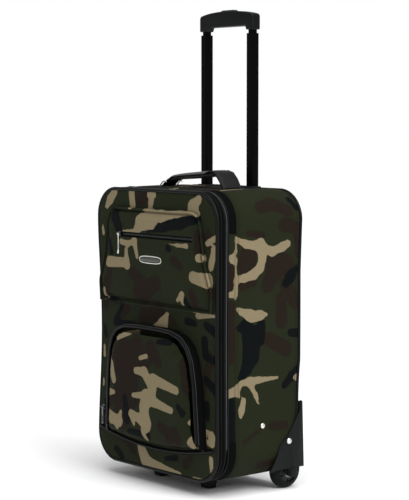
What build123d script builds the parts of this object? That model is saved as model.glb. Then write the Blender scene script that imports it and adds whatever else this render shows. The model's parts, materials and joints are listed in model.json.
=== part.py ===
from build123d import *
import os

os.makedirs("parts", exist_ok=True)

# Soft-sided two-wheel upright case with a telescoping handle, standing on its wheels and feet.
# X is the width, Y the depth with the front at -Y, and Z is up from the floor. Sizes are in millimetres.
# The origin is on the floor, under the middle of the case. The handle's lower stage is drawn out.

# Soft shell: a box with rounded corners as seen from the front
SHELL_W = 330.0
SHELL_TOP = 508.0
SHELL_BOTTOM = 26.0
SHELL_R = 50.0
SHELL_H = SHELL_TOP - SHELL_BOTTOM
SHELL_MID = (SHELL_TOP + SHELL_BOTTOM) / 2
SKIN = 3.0            # padded fabric wall
PIPE = 6.0            # width of the piping rims
PANEL_W = SHELL_W - 10.0
PANEL_H = SHELL_H - 10.0
PANEL_R = SHELL_R - 5.0
BODY_GAP = 0.3        # least gap between pieces of two moving bodies

# Planes along the depth, from front to back
LID_FRONT = -87.0
PANEL_FRONT = -86.0
ZIP_LINE = -65.0
SEAM_LINE = -45.0
LINING_BACK = 67.0
RIM_BACK = 94.0

# Front pockets on the lid
UPPER_TOP = 474.0
UPPER_BOTTOM = 310.0
UPPER_THICK = 8.0
SLIT_X = 13.0
SLIT_Z = 429.0
SLIT_W = 197.0
SLIT_H = 9.0
POCKET_TOP = 276.0
POCKET_BOTTOM = 87.0
POCKET_DEPTH = 15.7
POCKET_FACE = 6.0
POCKET_WALL = 3.0
POCKET_R = 60.0
BADGE_X = 1.0
BADGE_Z = 389.0
BADGE_THICK = 0.8

# Telescoping handle
TUBE_X = 61.6
TUBE_Y = 78.4
OUTER_TUBE = 18.6
OUTER_BORE = 16.6
LOWER_TUBE = 16.0
LOWER_BORE = 13.2
UPPER_TUBE = 11.4
UPPER_BORE = 8.6
OUTER_BASE = 42.0
LOWER_TOP = 773.5
LOWER_LENGTH = 430.0
UPPER_LENGTH = 415.0
GRIP_BASE = 779.0
GRIP_TOP = 808.0
GRIP_W = 142.0
GRIP_DEPTH = 19.0
BEZEL_TOP = 511.5

# Wheels, their housings and the front feet
WHEEL_X = 147.0
WHEEL_Y = 78.0
WHEEL_Z = 30.0
WHEEL_R = 30.0
WHEEL_W = 22.0
HUB_R = 19.0
BEARING_R = 11.0
BEARING_W = 7.0
BEARING_BORE = 4.0
AXLE_R = 3.95
ARCH_R = 34.0
ARCH_WALL = 3.0
ARCH_IN = 130.0
PLATE_IN = 166.2
PLATE_OUT = 168.8
BOSS_OUT = 170.2
FOOT_X = 65.0
FOOT_Y = -22.0

nodes = {}


def slab(width, height, radius, y0, y1, z=SHELL_MID):
    """A rounded rectangle seen from the front, solid from y0 back to y1."""
    face = Pos(0, y1, z) * (Plane.XZ * RectangleRounded(width, height, radius))
    return extrude(face, amount=y1 - y0)


def ring(grow, wall, y0, y1):
    """A wall that runs round the shell's outline, grown outwards by grow on each side."""
    outer = slab(SHELL_W + 2 * grow, SHELL_H + 2 * grow, SHELL_R + grow, y0, y1)
    inner_grow = grow - wall
    inner = slab(SHELL_W + 2 * inner_grow, SHELL_H + 2 * inner_grow, SHELL_R + inner_grow, y0 - 1, y1 + 1)
    return outer - inner


def block(x0, x1, y0, y1, z0, z1):
    """A box from its lowest to its highest corner."""
    centre = Pos((x0 + x1) / 2, (y0 + y1) / 2, (z0 + z1) / 2)
    return centre * Box(x1 - x0, y1 - y0, z1 - z0)


def front_shape(points, y0, y1):
    """An outline of (x, z) points seen from the front, solid from y0 back to y1."""
    face = make_face(Polyline(*[(x, y1, z) for x, z in points], close=True))
    return extrude(face, amount=y1 - y0, dir=(0, -1, 0))


def side_shape(points, x0, x1):
    """An outline of (y, z) points seen from the side, solid from x0 out to x1."""
    face = make_face(Polyline(*[(x0, y, z) for y, z in points], close=True))
    return extrude(face, amount=x1 - x0, dir=(1, 0, 0))


def rod(radius, x0, x1, y, z):
    """A round bar along X."""
    return Pos((x0 + x1) / 2, y, z) * (Rot(0, 90, 0) * Cylinder(radius, abs(x1 - x0)))


def square_tube(size, bore, z0, z1, radius=2.5):
    """A square tube along Z with rounded edges, centred on the tube line of the right side."""
    outer = extrude(Pos(TUBE_X, TUBE_Y, z0) * RectangleRounded(size, size, radius), amount=z1 - z0)
    if bore == 0:
        return outer
    inner_radius = max(radius - (size - bore) / 2, 0.6)
    return outer - extrude(Pos(TUBE_X, TUBE_Y, z0) * RectangleRounded(bore, bore, inner_radius), amount=z1 - z0)


def pair(shape):
    """The shape and its mirror image on the left side."""
    return shape + mirror(shape, about=Plane.YZ)


def soften(shape, axis, radius):
    """The shape with its edges along one axis rounded."""
    return fillet(shape.edges().filter_by(axis), radius)


# ---- What is cut from the shell for each wheel housing ----

def wheel_zone(clearance):
    """The room that both wheel housings need in the shell."""
    radius = ARCH_R + ARCH_WALL + clearance
    inner = ARCH_IN - clearance
    arch = rod(radius, inner, SHELL_W, WHEEL_Y, WHEEL_Z)
    behind = block(inner, SHELL_W, WHEEL_Y, 200, -10, WHEEL_Z + radius)
    below = block(inner, SHELL_W, WHEEL_Y - radius, 200, -10, WHEEL_Z)
    return pair(arch + behind + below)


def tube_zone(size):
    """Two square holes for the handle tubes, through the top of the shell."""
    return pair(square_tube(size, 0, 400, 600, 0.8))


# ---- Shell, fixed to the wheels ----

zone = wheel_zone(0.2)
tube_holes = tube_zone(OUTER_TUBE + 0.2)
side_band = ring(0, SKIN, SEAM_LINE, RIM_BACK - PIPE)
nodes["side_band"] = side_band - zone - tube_holes
nodes["front_band"] = ring(0, SKIN, ZIP_LINE + 1.5, SEAM_LINE - 0.3)
corners = ring(0.8, 0.8, ZIP_LINE + 1.5, SEAM_LINE - 0.3)
cross = block(-115, 115, -100, 0, 0, 600) + block(-200, 200, -100, 0, 76, 458)
nodes["corner_patches"] = corners - cross
nodes["back_piping"] = ring(1, PIPE, RIM_BACK - PIPE, RIM_BACK) - zone
nodes["back_panel"] = slab(PANEL_W, PANEL_H, PANEL_R, RIM_BACK - 2.8, RIM_BACK - 1) - zone
nodes["back_board"] = slab(PANEL_W, PANEL_H, PANEL_R, RIM_BACK - 4.6, RIM_BACK - 2.8) - zone
nodes["shell_frame"] = ring(-SKIN - 0.1, 2, ZIP_LINE + 1.7, RIM_BACK - PIPE) - zone - tube_holes
nodes["side_lining"] = ring(-SKIN - 2.2, 1, ZIP_LINE + 1.7, LINING_BACK) - wheel_zone(0.4)
back_lining = slab(SHELL_W - 10.4, SHELL_H - 10.4, PANEL_R, LINING_BACK, LINING_BACK + 1)
nodes["back_lining"] = back_lining - wheel_zone(0.4)


# ---- Main zipper: one tape on the lid, one on the shell, open along the bottom ----

def zip_tape(y0, y1):
    """A zipper tape that runs up one side, over the top and down the other."""
    return ring(-0.5, 4, y0, y1) - block(-200, 200, y0 - 1, y1 + 1, 0, 78)


nodes["body_zip_tape"] = zip_tape(ZIP_LINE + 0.15, ZIP_LINE + 1.5)
nodes["lid_zip_tape"] = zip_tape(ZIP_LINE - 1.5, ZIP_LINE - 0.15)


# ---- Lid ----

nodes["lid_piping"] = ring(1, PIPE, LID_FRONT, LID_FRONT + PIPE)
nodes["lid_panel"] = slab(PANEL_W, PANEL_H, PANEL_R, PANEL_FRONT, PANEL_FRONT + 2)
nodes["lid_board"] = slab(PANEL_W, PANEL_H, PANEL_R, PANEL_FRONT + 2, PANEL_FRONT + 3.8)
nodes["lid_gusset"] = ring(-0.8, SKIN, LID_FRONT + PIPE, ZIP_LINE - 1.5)

half_upper = [(127, UPPER_TOP), (137, 395), (158, 345), (158, UPPER_BOTTOM)]
upper_outline = half_upper + [(-x, z) for x, z in reversed(half_upper)]
upper_front = PANEL_FRONT - UPPER_THICK
upper_pocket = front_shape(upper_outline, upper_front, PANEL_FRONT)
top_edges = upper_pocket.edges().filter_by(Axis.Y).sort_by(Axis.Z)[-2:]
upper_pocket = fillet(top_edges, 24)
slit_start, slit_end = SLIT_X - SLIT_W / 2, SLIT_X + SLIT_W / 2
slit_low, slit_high = SLIT_Z - SLIT_H / 2, SLIT_Z + SLIT_H / 2
slit = block(slit_start, slit_end, upper_front - 1, upper_front + 4, slit_low, slit_high)
slider_room = block(slit_start - 12, slit_start, upper_front - 1, upper_front + 4, SLIT_Z - 5, SLIT_Z + 5)
nodes["upper_pocket"] = upper_pocket - slit - slider_room
nodes["upper_zip_tape"] = block(slit_start, slit_end, upper_front + 2.4, upper_front + 4, slit_low, slit_high)

badge = Pos(BADGE_X, upper_front, BADGE_Z) * (Plane.XZ * Ellipse(33, 7.5))
nodes["badge_rim"] = extrude(badge, amount=BADGE_THICK)
badge_face = Pos(BADGE_X, upper_front - BADGE_THICK, BADGE_Z) * (Plane.XZ * Ellipse(28.5, 5))
nodes["badge_face"] = extrude(badge_face, amount=0.4)

smile_radius = 680.0
smile_base = 63.0
smile_disc = Pos(0, PANEL_FRONT, smile_base + smile_radius) * (Plane.XZ * Circle(smile_radius))
smile_inner = Pos(0, PANEL_FRONT, smile_base + smile_radius) * (Plane.XZ * Circle(smile_radius - 4))
smile_ring = extrude(smile_disc, amount=3.5) - extrude(smile_inner, amount=3.5)
nodes["bottom_seam_piping"] = smile_ring & block(-156, 156, PANEL_FRONT - 4, PANEL_FRONT, 60, 100)


# ---- Lower pocket: its face swings down from the bottom edge, and the gusset stays on the lid ----

def pocket_outline(inset):
    """The D shape of the lower pocket, moved inwards by inset."""
    half = [(116 - inset, POCKET_TOP - inset), (131 - inset, 190), (141 - inset, POCKET_BOTTOM + inset)]
    return half + [(-x, z) for x, z in reversed(half)]


def pocket_slab(inset, y0, y1, corner):
    """A slab of the D shape with round top corners."""
    shape = front_shape(pocket_outline(inset), y0, y1)
    tops = shape.edges().filter_by(Axis.Y).sort_by(Axis.Z)[-2:]
    return fillet(tops, corner)


pocket_edge = PANEL_FRONT - POCKET_DEPTH
gusset = pocket_slab(0, pocket_edge, PANEL_FRONT, POCKET_R)
gusset -= pocket_slab(POCKET_WALL, pocket_edge - 1, PANEL_FRONT + 1, POCKET_R - POCKET_WALL)
nodes["pocket_gusset"] = gusset
face_back = pocket_edge - BODY_GAP
pocket_front = PANEL_FRONT - POCKET_DEPTH - POCKET_FACE - BODY_GAP
tape = pocket_slab(0, face_back - 1.3, face_back, POCKET_R)
tape -= pocket_slab(POCKET_WALL, face_back - 2, face_back + 1, POCKET_R - POCKET_WALL)
nodes["pocket_zip_tape"] = tape
nodes["pocket_face"] = pocket_slab(0, pocket_front, face_back - 1.3, POCKET_R)


# ---- Zipper sliders and their pull tabs ----

PIVOT_OUT = 4.3       # how far a pull tab's pivot stands out from its tape


def pull_tab(length, width, thick):
    """A thin pull tab that hangs from its pivot at the origin, with a window near its lower end."""
    plate = soften(Pos(0, 0, -length / 2) * Box(width, thick, length), Axis.Y, width * 0.3)
    window = Pos(0, 0, -length * 0.7) * Box(width * 0.45, thick + 1, length * 0.35)
    barrel = rod(1.5, -width / 2, width / 2, 0, 0)
    return plate - window + barrel - rod(0.75, -width, width, 0, 0)


def slider_body(width, height):
    """A zipper slider that lies on its tape, with a bar across the front for the pull tab."""
    base = soften(Pos(0, -1.2, 0) * Box(width, 2.4, height), Axis.Y, 2)
    ear = Pos(width / 2 - 0.8, -3.8, 0) * Box(1.6, 3.0, 4)
    return base + pair(ear) + rod(0.7, 1 - width / 2, width / 2 - 1, -PIVOT_OUT, 0)


UPPER_SLIDER_X = slit_start - 5.5
UPPER_SLIDER_Y = upper_front + 2.0
nodes["upper_slider"] = Pos(UPPER_SLIDER_X, UPPER_SLIDER_Y, SLIT_Z) * slider_body(9, 8)
nodes["upper_pull"] = Pos(UPPER_SLIDER_X, UPPER_SLIDER_Y - PIVOT_OUT, SLIT_Z) * pull_tab(36, 4.6, 1.4)

POCKET_SLIDER_X = -147.5
POCKET_SLIDER_Z = 118.0
slider_place = Pos(POCKET_SLIDER_X, PANEL_FRONT, POCKET_SLIDER_Z)
nodes["pocket_slider"] = slider_place * slider_body(8, 9)
pull_place = Pos(POCKET_SLIDER_X, PANEL_FRONT - PIVOT_OUT, POCKET_SLIDER_Z)
nodes["pocket_pull"] = pull_place * pull_tab(30, 4.2, 1.4)

MAIN_SLIDER_Z = 112.0
main_place = Pos(-SHELL_W / 2 - BODY_GAP, ZIP_LINE, MAIN_SLIDER_Z) * Rot(0, 0, -90)
nodes["main_slider"] = main_place * slider_body(9, 10)
main_pivot = Pos(-SHELL_W / 2 - BODY_GAP - PIVOT_OUT, ZIP_LINE, MAIN_SLIDER_Z) * Rot(0, 0, -90)
nodes["main_pull"] = main_pivot * pull_tab(35, 4.8, 1.4)


# ---- Telescoping handle ----

nodes["outer_tubes"] = pair(square_tube(OUTER_TUBE, OUTER_BORE, OUTER_BASE, SHELL_TOP))
bracket = block(-76, 76, TUBE_Y - 9, TUBE_Y + 9, SHELL_BOTTOM + 5.4, OUTER_BASE)
nodes["tube_bracket"] = soften(bracket, Axis.Z, 4)
bezel = extrude(Pos(0, TUBE_Y - 1.4, SHELL_TOP) * RectangleRounded(154, 21.6, 6), amount=BEZEL_TOP - SHELL_TOP)
bezel = fillet(bezel.edges().group_by(Axis.Z)[-1], 1.5)
nodes["handle_bezel"] = bezel - tube_zone(OUTER_BORE)

lower_base = LOWER_TOP - LOWER_LENGTH
nodes["lower_tubes"] = pair(square_tube(LOWER_TUBE, LOWER_BORE, lower_base, LOWER_TOP))
nodes["stage_bushes"] = pair(square_tube(LOWER_BORE, 12.0, LOWER_TOP - 22, LOWER_TOP, 1.1))
nodes["stage_stops"] = pair(square_tube(LOWER_TUBE, 0, lower_base - 14, lower_base))
stud = rod(2.2, TUBE_X + LOWER_TUBE / 2, TUBE_X + LOWER_TUBE / 2 + 0.15, TUBE_Y, LOWER_TOP - 8)
nodes["stage_studs"] = pair(stud + Pos(0, 0, -15) * stud)

upper_base = GRIP_BASE - UPPER_LENGTH
nodes["upper_tubes"] = pair(square_tube(UPPER_TUBE, UPPER_BORE, upper_base, GRIP_BASE + 6, 1.8))
nodes["lock_blocks"] = pair(square_tube(12.4, 0, upper_base - 16, upper_base, 1.0))

grip_half = GRIP_W / 2
grip_mid_top = 812.0
grip_lower = [(-grip_half, GRIP_BASE), (-grip_half + 17, GRIP_BASE), (-grip_half + 19, 786), (grip_half - 19, 786),
              (grip_half - 17, GRIP_BASE), (grip_half, GRIP_BASE)]
grip_face = make_face(
    Polyline(*[(x, 0, z) for x, z in grip_lower])
    + Line((grip_half, 0, GRIP_BASE), (grip_half, 0, GRIP_TOP - 6))
    + ThreePointArc((grip_half, 0, GRIP_TOP - 6), (0, 0, grip_mid_top), (-grip_half, 0, GRIP_TOP - 6))
    + Line((-grip_half, 0, GRIP_TOP - 6), (-grip_half, 0, GRIP_BASE))
)
grip_solid = extrude(Pos(0, TUBE_Y + GRIP_DEPTH / 2, 0) * grip_face, amount=GRIP_DEPTH, dir=(0, -1, 0))
grip_split = block(-100, 100, TUBE_Y - 30, TUBE_Y, 700, 900)
tube_sockets = pair(square_tube(UPPER_TUBE + 0.1, 0, GRIP_BASE, GRIP_BASE + 6.1, 1.8))
button_well = block(-18.3, 18.3, TUBE_Y - 5.8, TUBE_Y + 5.8, 796, 830)
rod_channel = block(-TUBE_X - 3, TUBE_X + 3, TUBE_Y - 3, TUBE_Y + 3, 789, 800)
rod_exit = pair(square_tube(6.0, 0, GRIP_BASE, 800, 0.6))
grip_hollow = grip_solid - tube_sockets - button_well - rod_channel - rod_exit
nodes["grip_front"] = grip_hollow & grip_split
nodes["grip_back"] = grip_hollow - grip_split
nodes["grip_screws"] = pair(Pos(40, TUBE_Y + GRIP_DEPTH / 2 + 0.3, 800) * (Rot(90, 0, 0) * Cylinder(2.5, 0.6)))

button = block(-18, 18, TUBE_Y - 5.5, TUBE_Y + 5.5, 804.5, 815)
nodes["release_button"] = soften(button, Axis.Z, 4)
rod_bar = block(-TUBE_X - 2, TUBE_X + 2, TUBE_Y - 2, TUBE_Y + 2, 794, 798)
riser = block(-4, 4, TUBE_Y - 2, TUBE_Y + 2, 798, 804.5)
spring = Pos(11, TUBE_Y + 3.9, 800.25) * (Cylinder(1.6, 8.5) - Cylinder(1.2, 9))
nodes["button_springs"] = pair(spring)
push_rod = Pos(TUBE_X, TUBE_Y, (upper_base + 6 + 794) / 2) * Cylinder(1.8, 794 - upper_base - 6)
nodes["release_rods"] = rod_bar + riser + pair(push_rod)


# ---- Wheels ----

def wheel(side):
    """Tyre, hub and bearings of one wheel, each its own solid."""
    x = side * WHEEL_X
    tread = Pos(x, WHEEL_Y, WHEEL_Z) * (Rot(0, 90, 0) * Cylinder(WHEEL_R, WHEEL_W))
    tread = fillet(tread.edges().filter_by(GeomType.CIRCLE), 9.5)
    tyre = tread - rod(HUB_R, x - 20, x + 20, WHEEL_Y, WHEEL_Z)
    hub = rod(HUB_R, x - 8.5, x + 8.5, WHEEL_Y, WHEEL_Z) + rod(13.5, x - 11, x + 11, WHEEL_Y, WHEEL_Z)
    hub -= rod(6.5, x - 20, x + 20, WHEEL_Y, WHEEL_Z)
    bearings = Part()
    for end in (-1, 1):
        seat0 = x + end * 11
        seat1 = seat0 - end * BEARING_W
        hub -= rod(BEARING_R, seat0, seat1, WHEEL_Y, WHEEL_Z)
        bearings += rod(BEARING_R, seat0, seat1, WHEEL_Y, WHEEL_Z)
    for hole in PolarLocations(16.2, 6):
        hub -= Pos(x, WHEEL_Y, WHEEL_Z) * (Rot(0, 90, 0) * (hole * Cylinder(1.9, 30)))
    bearings -= rod(BEARING_BORE, x - 20, x + 20, WHEEL_Y, WHEEL_Z)
    return tyre, hub, bearings


for name, side in (("right", 1), ("left", -1)):
    nodes[f"tyre_{name}"], nodes[f"hub_{name}"], nodes[f"bearings_{name}"] = wheel(side)


# ---- Wheel housings: arch, side plate and back plate of the right one; the left is its mirror ----

side_points = [(103, 52), (103, 149), (97, 151), (94, 134), (68, 95), (49, 78), (44, 63), (36, 48), (27, 36),
               (30, 34), (44, 37), (103, 37)]
side_plate = side_shape(side_points, PLATE_IN, PLATE_OUT)
back_points = [(128, 54), (PLATE_IN, 54), (PLATE_IN, 149), (158, 149), (128, 98)]
back_plate = front_shape(back_points, RIM_BACK + 0.2, RIM_BACK + 8)
corner_bar = block(PLATE_IN - 0.5, PLATE_OUT, 95.5, RIM_BACK + 8, 54, 149)
arch = rod(ARCH_R + ARCH_WALL, ARCH_IN, PLATE_IN, WHEEL_Y, WHEEL_Z)
arch += block(ARCH_IN, PLATE_IN, WHEEL_Y, RIM_BACK + 8, 54, WHEEL_Z + ARCH_R + ARCH_WALL)
arch &= block(ARCH_IN, PLATE_IN, 0, RIM_BACK + 8, 37, 100)
cheeks = rod(11, ARCH_IN, ARCH_IN + 3.5, WHEEL_Y, WHEEL_Z) + rod(9, 161, BOSS_OUT, WHEEL_Y, WHEEL_Z)
cheeks += block(ARCH_IN, ARCH_IN + 3.5, WHEEL_Y - 11, WHEEL_Y + 11, WHEEL_Z, 40)
cheeks += block(161, PLATE_OUT, WHEEL_Y - 9, WHEEL_Y + 9, WHEEL_Z, 40)
wheel_room = rod(ARCH_R, ARCH_IN + 3.5, 161, WHEEL_Y, WHEEL_Z)
wheel_room += block(ARCH_IN + 3.5, 161, WHEEL_Y, 200, 0, 54)
housing = (arch + side_plate + back_plate + corner_bar - wheel_room) + cheeks
housing -= rod(BEARING_BORE, 100, 200, WHEEL_Y, WHEEL_Z)
nodes["wheel_housing_right"] = housing
nodes["wheel_housing_left"] = mirror(housing, about=Plane.YZ)

axle = rod(AXLE_R, ARCH_IN, BOSS_OUT, WHEEL_Y, WHEEL_Z)
nodes["axle_pins"] = pair(axle + rod(7, BOSS_OUT, BOSS_OUT + 2.2, WHEEL_Y, WHEEL_Z))
spacer = rod(6, ARCH_IN + 3.5, WHEEL_X - 11.2, WHEEL_Y, WHEEL_Z) + rod(6, WHEEL_X + 11.2, 161, WHEEL_Y, WHEEL_Z)
nodes["axle_spacers"] = pair(spacer - rod(AXLE_R, 100, 200, WHEEL_Y, WHEEL_Z))


def rivet(x, y, z):
    """A rivet head with a rounded rim that stands out along +X from x."""
    head = rod(6, x, x + 2.2, y, z)
    return fillet(head.edges().filter_by(GeomType.CIRCLE).sort_by(Axis.X)[-1], 1.8)


nodes["side_rivets"] = pair(rivet(SHELL_W / 2, 12, 116) + rivet(PLATE_OUT, 69, 84))

foot = extrude(Pos(FOOT_X, FOOT_Y, 0) * RectangleRounded(24, 20, 7), amount=SHELL_BOTTOM, taper=-10)
foot = fillet(foot.edges().group_by(Axis.Z)[0], 2)
nodes["front_feet"] = pair(foot)


# ---- Carry handle on top ----

HANDLE_Y = 9.0
pad_points = [(-58, 519), (0, 522), (56, 526), (56, 539), (0, 534), (-58, 528)]
nodes["carry_grip"] = front_shape(pad_points, HANDLE_Y - 17, HANDLE_Y + 17)
right_points = [(56, 526), (70, 523), (82, SHELL_TOP), (92, SHELL_TOP), (80, 529), (66, 538), (56, 539)]
nodes["carry_strap_right"] = front_shape(right_points, HANDLE_Y - 19, HANDLE_Y + 19)
left_points = [(-58, 519), (-68, 517), (-80, SHELL_TOP), (-90, SHELL_TOP), (-76, 523), (-66, 528), (-58, 528)]
nodes["carry_strap_left"] = front_shape(left_points, HANDLE_Y - 15, HANDLE_Y + 15)

for name, shape in nodes.items():
    export_step(shape, f"parts/{name}.step")
print(len(nodes), "nodes written")
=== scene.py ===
# %% [markdown]
# # A soft-sided two-wheel cabin case
#
# The real case is a stiffened box of printed polyester with black trim. Its front is a lid that opens on a
# zipper, and the lid carries two pockets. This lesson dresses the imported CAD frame: what is rigid and already
# has its true shape keeps its CAD mesh or a rounded copy of it, and everything sewn is modelled here.

# %% Load the frame
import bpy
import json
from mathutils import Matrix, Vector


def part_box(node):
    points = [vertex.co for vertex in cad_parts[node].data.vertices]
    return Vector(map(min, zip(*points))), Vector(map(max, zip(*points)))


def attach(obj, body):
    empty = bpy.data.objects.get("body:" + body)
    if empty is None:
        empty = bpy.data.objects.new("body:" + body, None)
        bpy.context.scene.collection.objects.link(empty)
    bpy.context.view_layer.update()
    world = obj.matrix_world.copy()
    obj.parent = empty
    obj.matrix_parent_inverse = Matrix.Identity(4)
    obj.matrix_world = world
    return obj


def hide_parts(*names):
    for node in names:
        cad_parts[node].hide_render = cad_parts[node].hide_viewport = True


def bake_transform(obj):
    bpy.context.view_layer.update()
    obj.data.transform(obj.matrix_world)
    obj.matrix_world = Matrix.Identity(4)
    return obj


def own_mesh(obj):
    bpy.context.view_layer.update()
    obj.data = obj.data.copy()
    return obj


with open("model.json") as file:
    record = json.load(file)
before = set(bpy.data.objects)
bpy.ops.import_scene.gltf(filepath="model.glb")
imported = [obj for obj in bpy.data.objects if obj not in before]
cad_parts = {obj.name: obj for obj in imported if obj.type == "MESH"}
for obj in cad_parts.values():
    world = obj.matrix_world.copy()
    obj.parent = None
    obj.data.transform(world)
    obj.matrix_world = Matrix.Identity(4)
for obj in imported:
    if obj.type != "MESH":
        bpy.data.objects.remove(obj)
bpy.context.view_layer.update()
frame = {"nodes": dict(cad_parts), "record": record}

# %% [markdown]
# ## Units and the tools that every piece uses
#
# The case was drawn in millimetres and Blender works in metres. Working in millimetres and dividing once, when
# a mesh is written, keeps the numbers readable. The helpers below do what a hand would do: deselect, add a
# primitive, pick faces by their place, and apply a modifier.

# %% Millimetres and selection
import json
import math
import random
import bmesh
import bpy
import numpy as np
from mathutils import Vector, noise

MM = 0.001


def deselect():
    """Leaves edit mode and deselects everything."""
    if bpy.context.object and bpy.context.object.mode != "OBJECT":
        bpy.ops.object.mode_set(mode="OBJECT")
    bpy.ops.object.select_all(action="DESELECT")


def take(piece):
    """Selects one piece only and makes it active."""
    deselect()
    piece.select_set(True)
    bpy.context.view_layer.objects.active = piece
    return piece


def name_new(name):
    """Names the primitive that was just added, and moves its place into its mesh."""
    piece = bpy.context.object
    piece.name = piece.data.name = name
    bpy.ops.object.transform_apply(location=True, rotation=True, scale=True)
    return piece


def pick(piece, test, kind="FACE"):
    """In edit mode, selects the faces, edges or vertices whose middle (in mm) and direction pass the test."""
    take(piece)
    bpy.ops.object.mode_set(mode="EDIT")
    bpy.ops.mesh.select_mode(type=kind)
    bpy.ops.mesh.select_all(action="DESELECT")
    mesh = bmesh.from_edit_mesh(piece.data)
    count = 0
    for item in {"FACE": mesh.faces, "EDGE": mesh.edges, "VERT": mesh.verts}[kind]:
        if kind == "FACE":
            middle, way = item.calc_center_median(), item.normal
        elif kind == "EDGE":
            first, last = item.verts[0].co, item.verts[1].co
            middle, way = (first + last) / 2, (last - first).normalized()
        else:
            middle, way = item.co, item.normal
        if test(middle / MM, way):
            item.select_set(True)
            count += 1
    mesh.select_flush_mode()
    bmesh.update_edit_mesh(piece.data)
    return count


def select_all(piece, kind="VERT"):
    """Selects the whole piece in edit mode."""
    take(piece)
    bpy.ops.object.mode_set(mode="EDIT")
    bpy.ops.mesh.select_mode(type=kind)
    bpy.ops.mesh.select_all(action="SELECT")


def modify(piece, kind, **settings):
    """Adds a modifier with these settings and applies it."""
    take(piece)
    modifier = piece.modifiers.new(kind.title(), kind)
    for setting, value in settings.items():
        setattr(modifier, setting, value)
    bpy.ops.object.modifier_apply(modifier=modifier.name)
    return piece


def push(piece, rule):
    """Moves the piece's vertices by a rule that works on an array of points in mm."""
    deselect()
    mesh = piece.data
    flat = np.empty(len(mesh.vertices) * 3)
    mesh.vertices.foreach_get("co", flat)
    moved = rule(flat.reshape(-1, 3) / MM)
    mesh.vertices.foreach_set("co", (np.asarray(moved) * MM).ravel())
    mesh.update()
    return piece


def face_out(piece):
    """Merges doubles and turns every face outwards."""
    select_all(piece)
    bpy.ops.mesh.remove_doubles(threshold=0.00001)
    bpy.ops.mesh.normals_make_consistent(inside=False)
    deselect()
    return piece


def smooth(piece, angle=40):
    """Shades the piece smooth, but leaves edges sharper than the angle crisp."""
    take(piece)
    bpy.ops.object.shade_smooth_by_angle(angle=math.radians(angle))
    return piece


def finish_piece(piece, body, material, replaced=()):
    """Gives a finished piece its body and its finish, and hides the CAD nodes that it stands for."""
    piece.data.materials.clear()
    piece.data.materials.append(material)
    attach(piece, body)
    if replaced:
        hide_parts(*replaced)
    print(f"{piece.name}: {len(piece.data.polygons)} faces, rides on {body}")
    return piece


# %% [markdown]
# ## Shader expressions
#
# A weave or a print is arithmetic on a few masks. Wiring that by hand hides it, so one class wraps a socket and
# lets Python's own operators add the Math nodes. Colours go through Mix nodes, because a Math node would turn
# them grey.

# %% A socket that can be calculated with
class Wire:
    """A socket of a material. Sums, products and powers of wires add Math nodes."""

    def __init__(self, tree, socket=None):
        self.tree = tree
        self.socket = socket

    def node(self, kind, settings, inputs, output=0):
        """Adds any node: its settings first, then the values or links of its sockets."""
        made = self.tree.nodes.new("ShaderNode" + kind)
        for setting, value in settings.items():
            if setting == "stops":
                ramp = made.color_ramp
                for index, (place, colour) in enumerate(value):
                    stop = ramp.elements[index] if index < 2 else ramp.elements.new(place)
                    stop.position = place
                    stop.color = colour
            else:
                setattr(made, setting, value)
        for key, value in inputs.items():
            if isinstance(value, Wire):
                self.tree.links.new(value.socket, made.inputs[key])
            else:
                made.inputs[key].default_value = value
        return Wire(self.tree, made.outputs[output])

    def maths(self, operation, *values):
        return self.node("Math", {"operation": operation}, dict(enumerate(values)))

    def __add__(self, other):
        return self.maths("ADD", self, other)

    def __sub__(self, other):
        return self.maths("SUBTRACT", self, other)

    def __rsub__(self, other):
        return self.maths("SUBTRACT", other, self)

    def __mul__(self, other):
        return self.maths("MULTIPLY", self, other)

    def __pow__(self, other):
        return self.maths("POWER", self, other)

    __radd__ = __add__
    __rmul__ = __mul__

    def step(self, low, high):
        """0 below low, 1 above high, smooth between."""
        settings = {"interpolation_type": "SMOOTHSTEP"}
        return self.node("MapRange", settings, {"Value": self, "From Min": low, "From Max": high})

    def mix(self, first, second):
        """The first colour where this wire is 0 and the second where it is 1."""
        settings = {"data_type": "RGBA", "clamp_factor": True}
        return self.node("Mix", settings, {0: self, 6: first, 7: second}, output=2)


def rgb(red, green, blue):
    """A linear colour with full alpha."""
    return (red, green, blue, 1.0)


def new_material(name):
    """An empty node material: its Principled shader and a wire on Object coordinates."""
    material = bpy.data.materials.new(name)
    material.use_nodes = True
    tree = material.node_tree
    shader = tree.nodes["Principled BSDF"]
    place = Wire(tree).node("TexCoord", {}, {}, output=3)
    return material, shader, place


def connect(shader, **wires):
    """Links wires to the shader's sockets. Underscores in a name stand for spaces."""
    for key, wire in wires.items():
        wire.tree.links.new(wire.socket, shader.inputs[key.replace("_", " ")])


def fix(shader, **values):
    """Sets constants on the shader's own sockets."""
    for key, value in values.items():
        shader.inputs[key.replace("_", " ")].default_value = value


def raise_by(place, height, distance, strength=1.0):
    """A Bump node for a height wire, with its distance in metres."""
    return place.node("Bump", {}, {"Strength": strength, "Distance": distance, "Height": height})


def speckle(place, scale, detail=2.0, rough=0.5):
    """Noise between 0 and 1, at a scale given per metre."""
    return place.node("TexNoise", {}, {"Vector": place, "Scale": scale, "Detail": detail, "Roughness": rough})


def weave(place, pitch):
    """Warp and weft threads of one pitch in metres, as a height between 0 and 1."""
    turned = {}
    for key, angle in (("warp", 0.62), ("weft", -0.95)):
        along = place.node("Mapping", {}, {"Vector": place, "Rotation": (angle, angle * 0.7, angle)})
        settings = {"wave_type": "BANDS", "bands_direction": "DIAGONAL", "wave_profile": "SIN"}
        turned[key] = place.node("TexWave", settings, {"Vector": along, "Scale": 0.32 / pitch, "Distortion": 0.6}, 1)
    return turned["warp"] * 0.5 + turned["weft"] * 0.5


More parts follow.
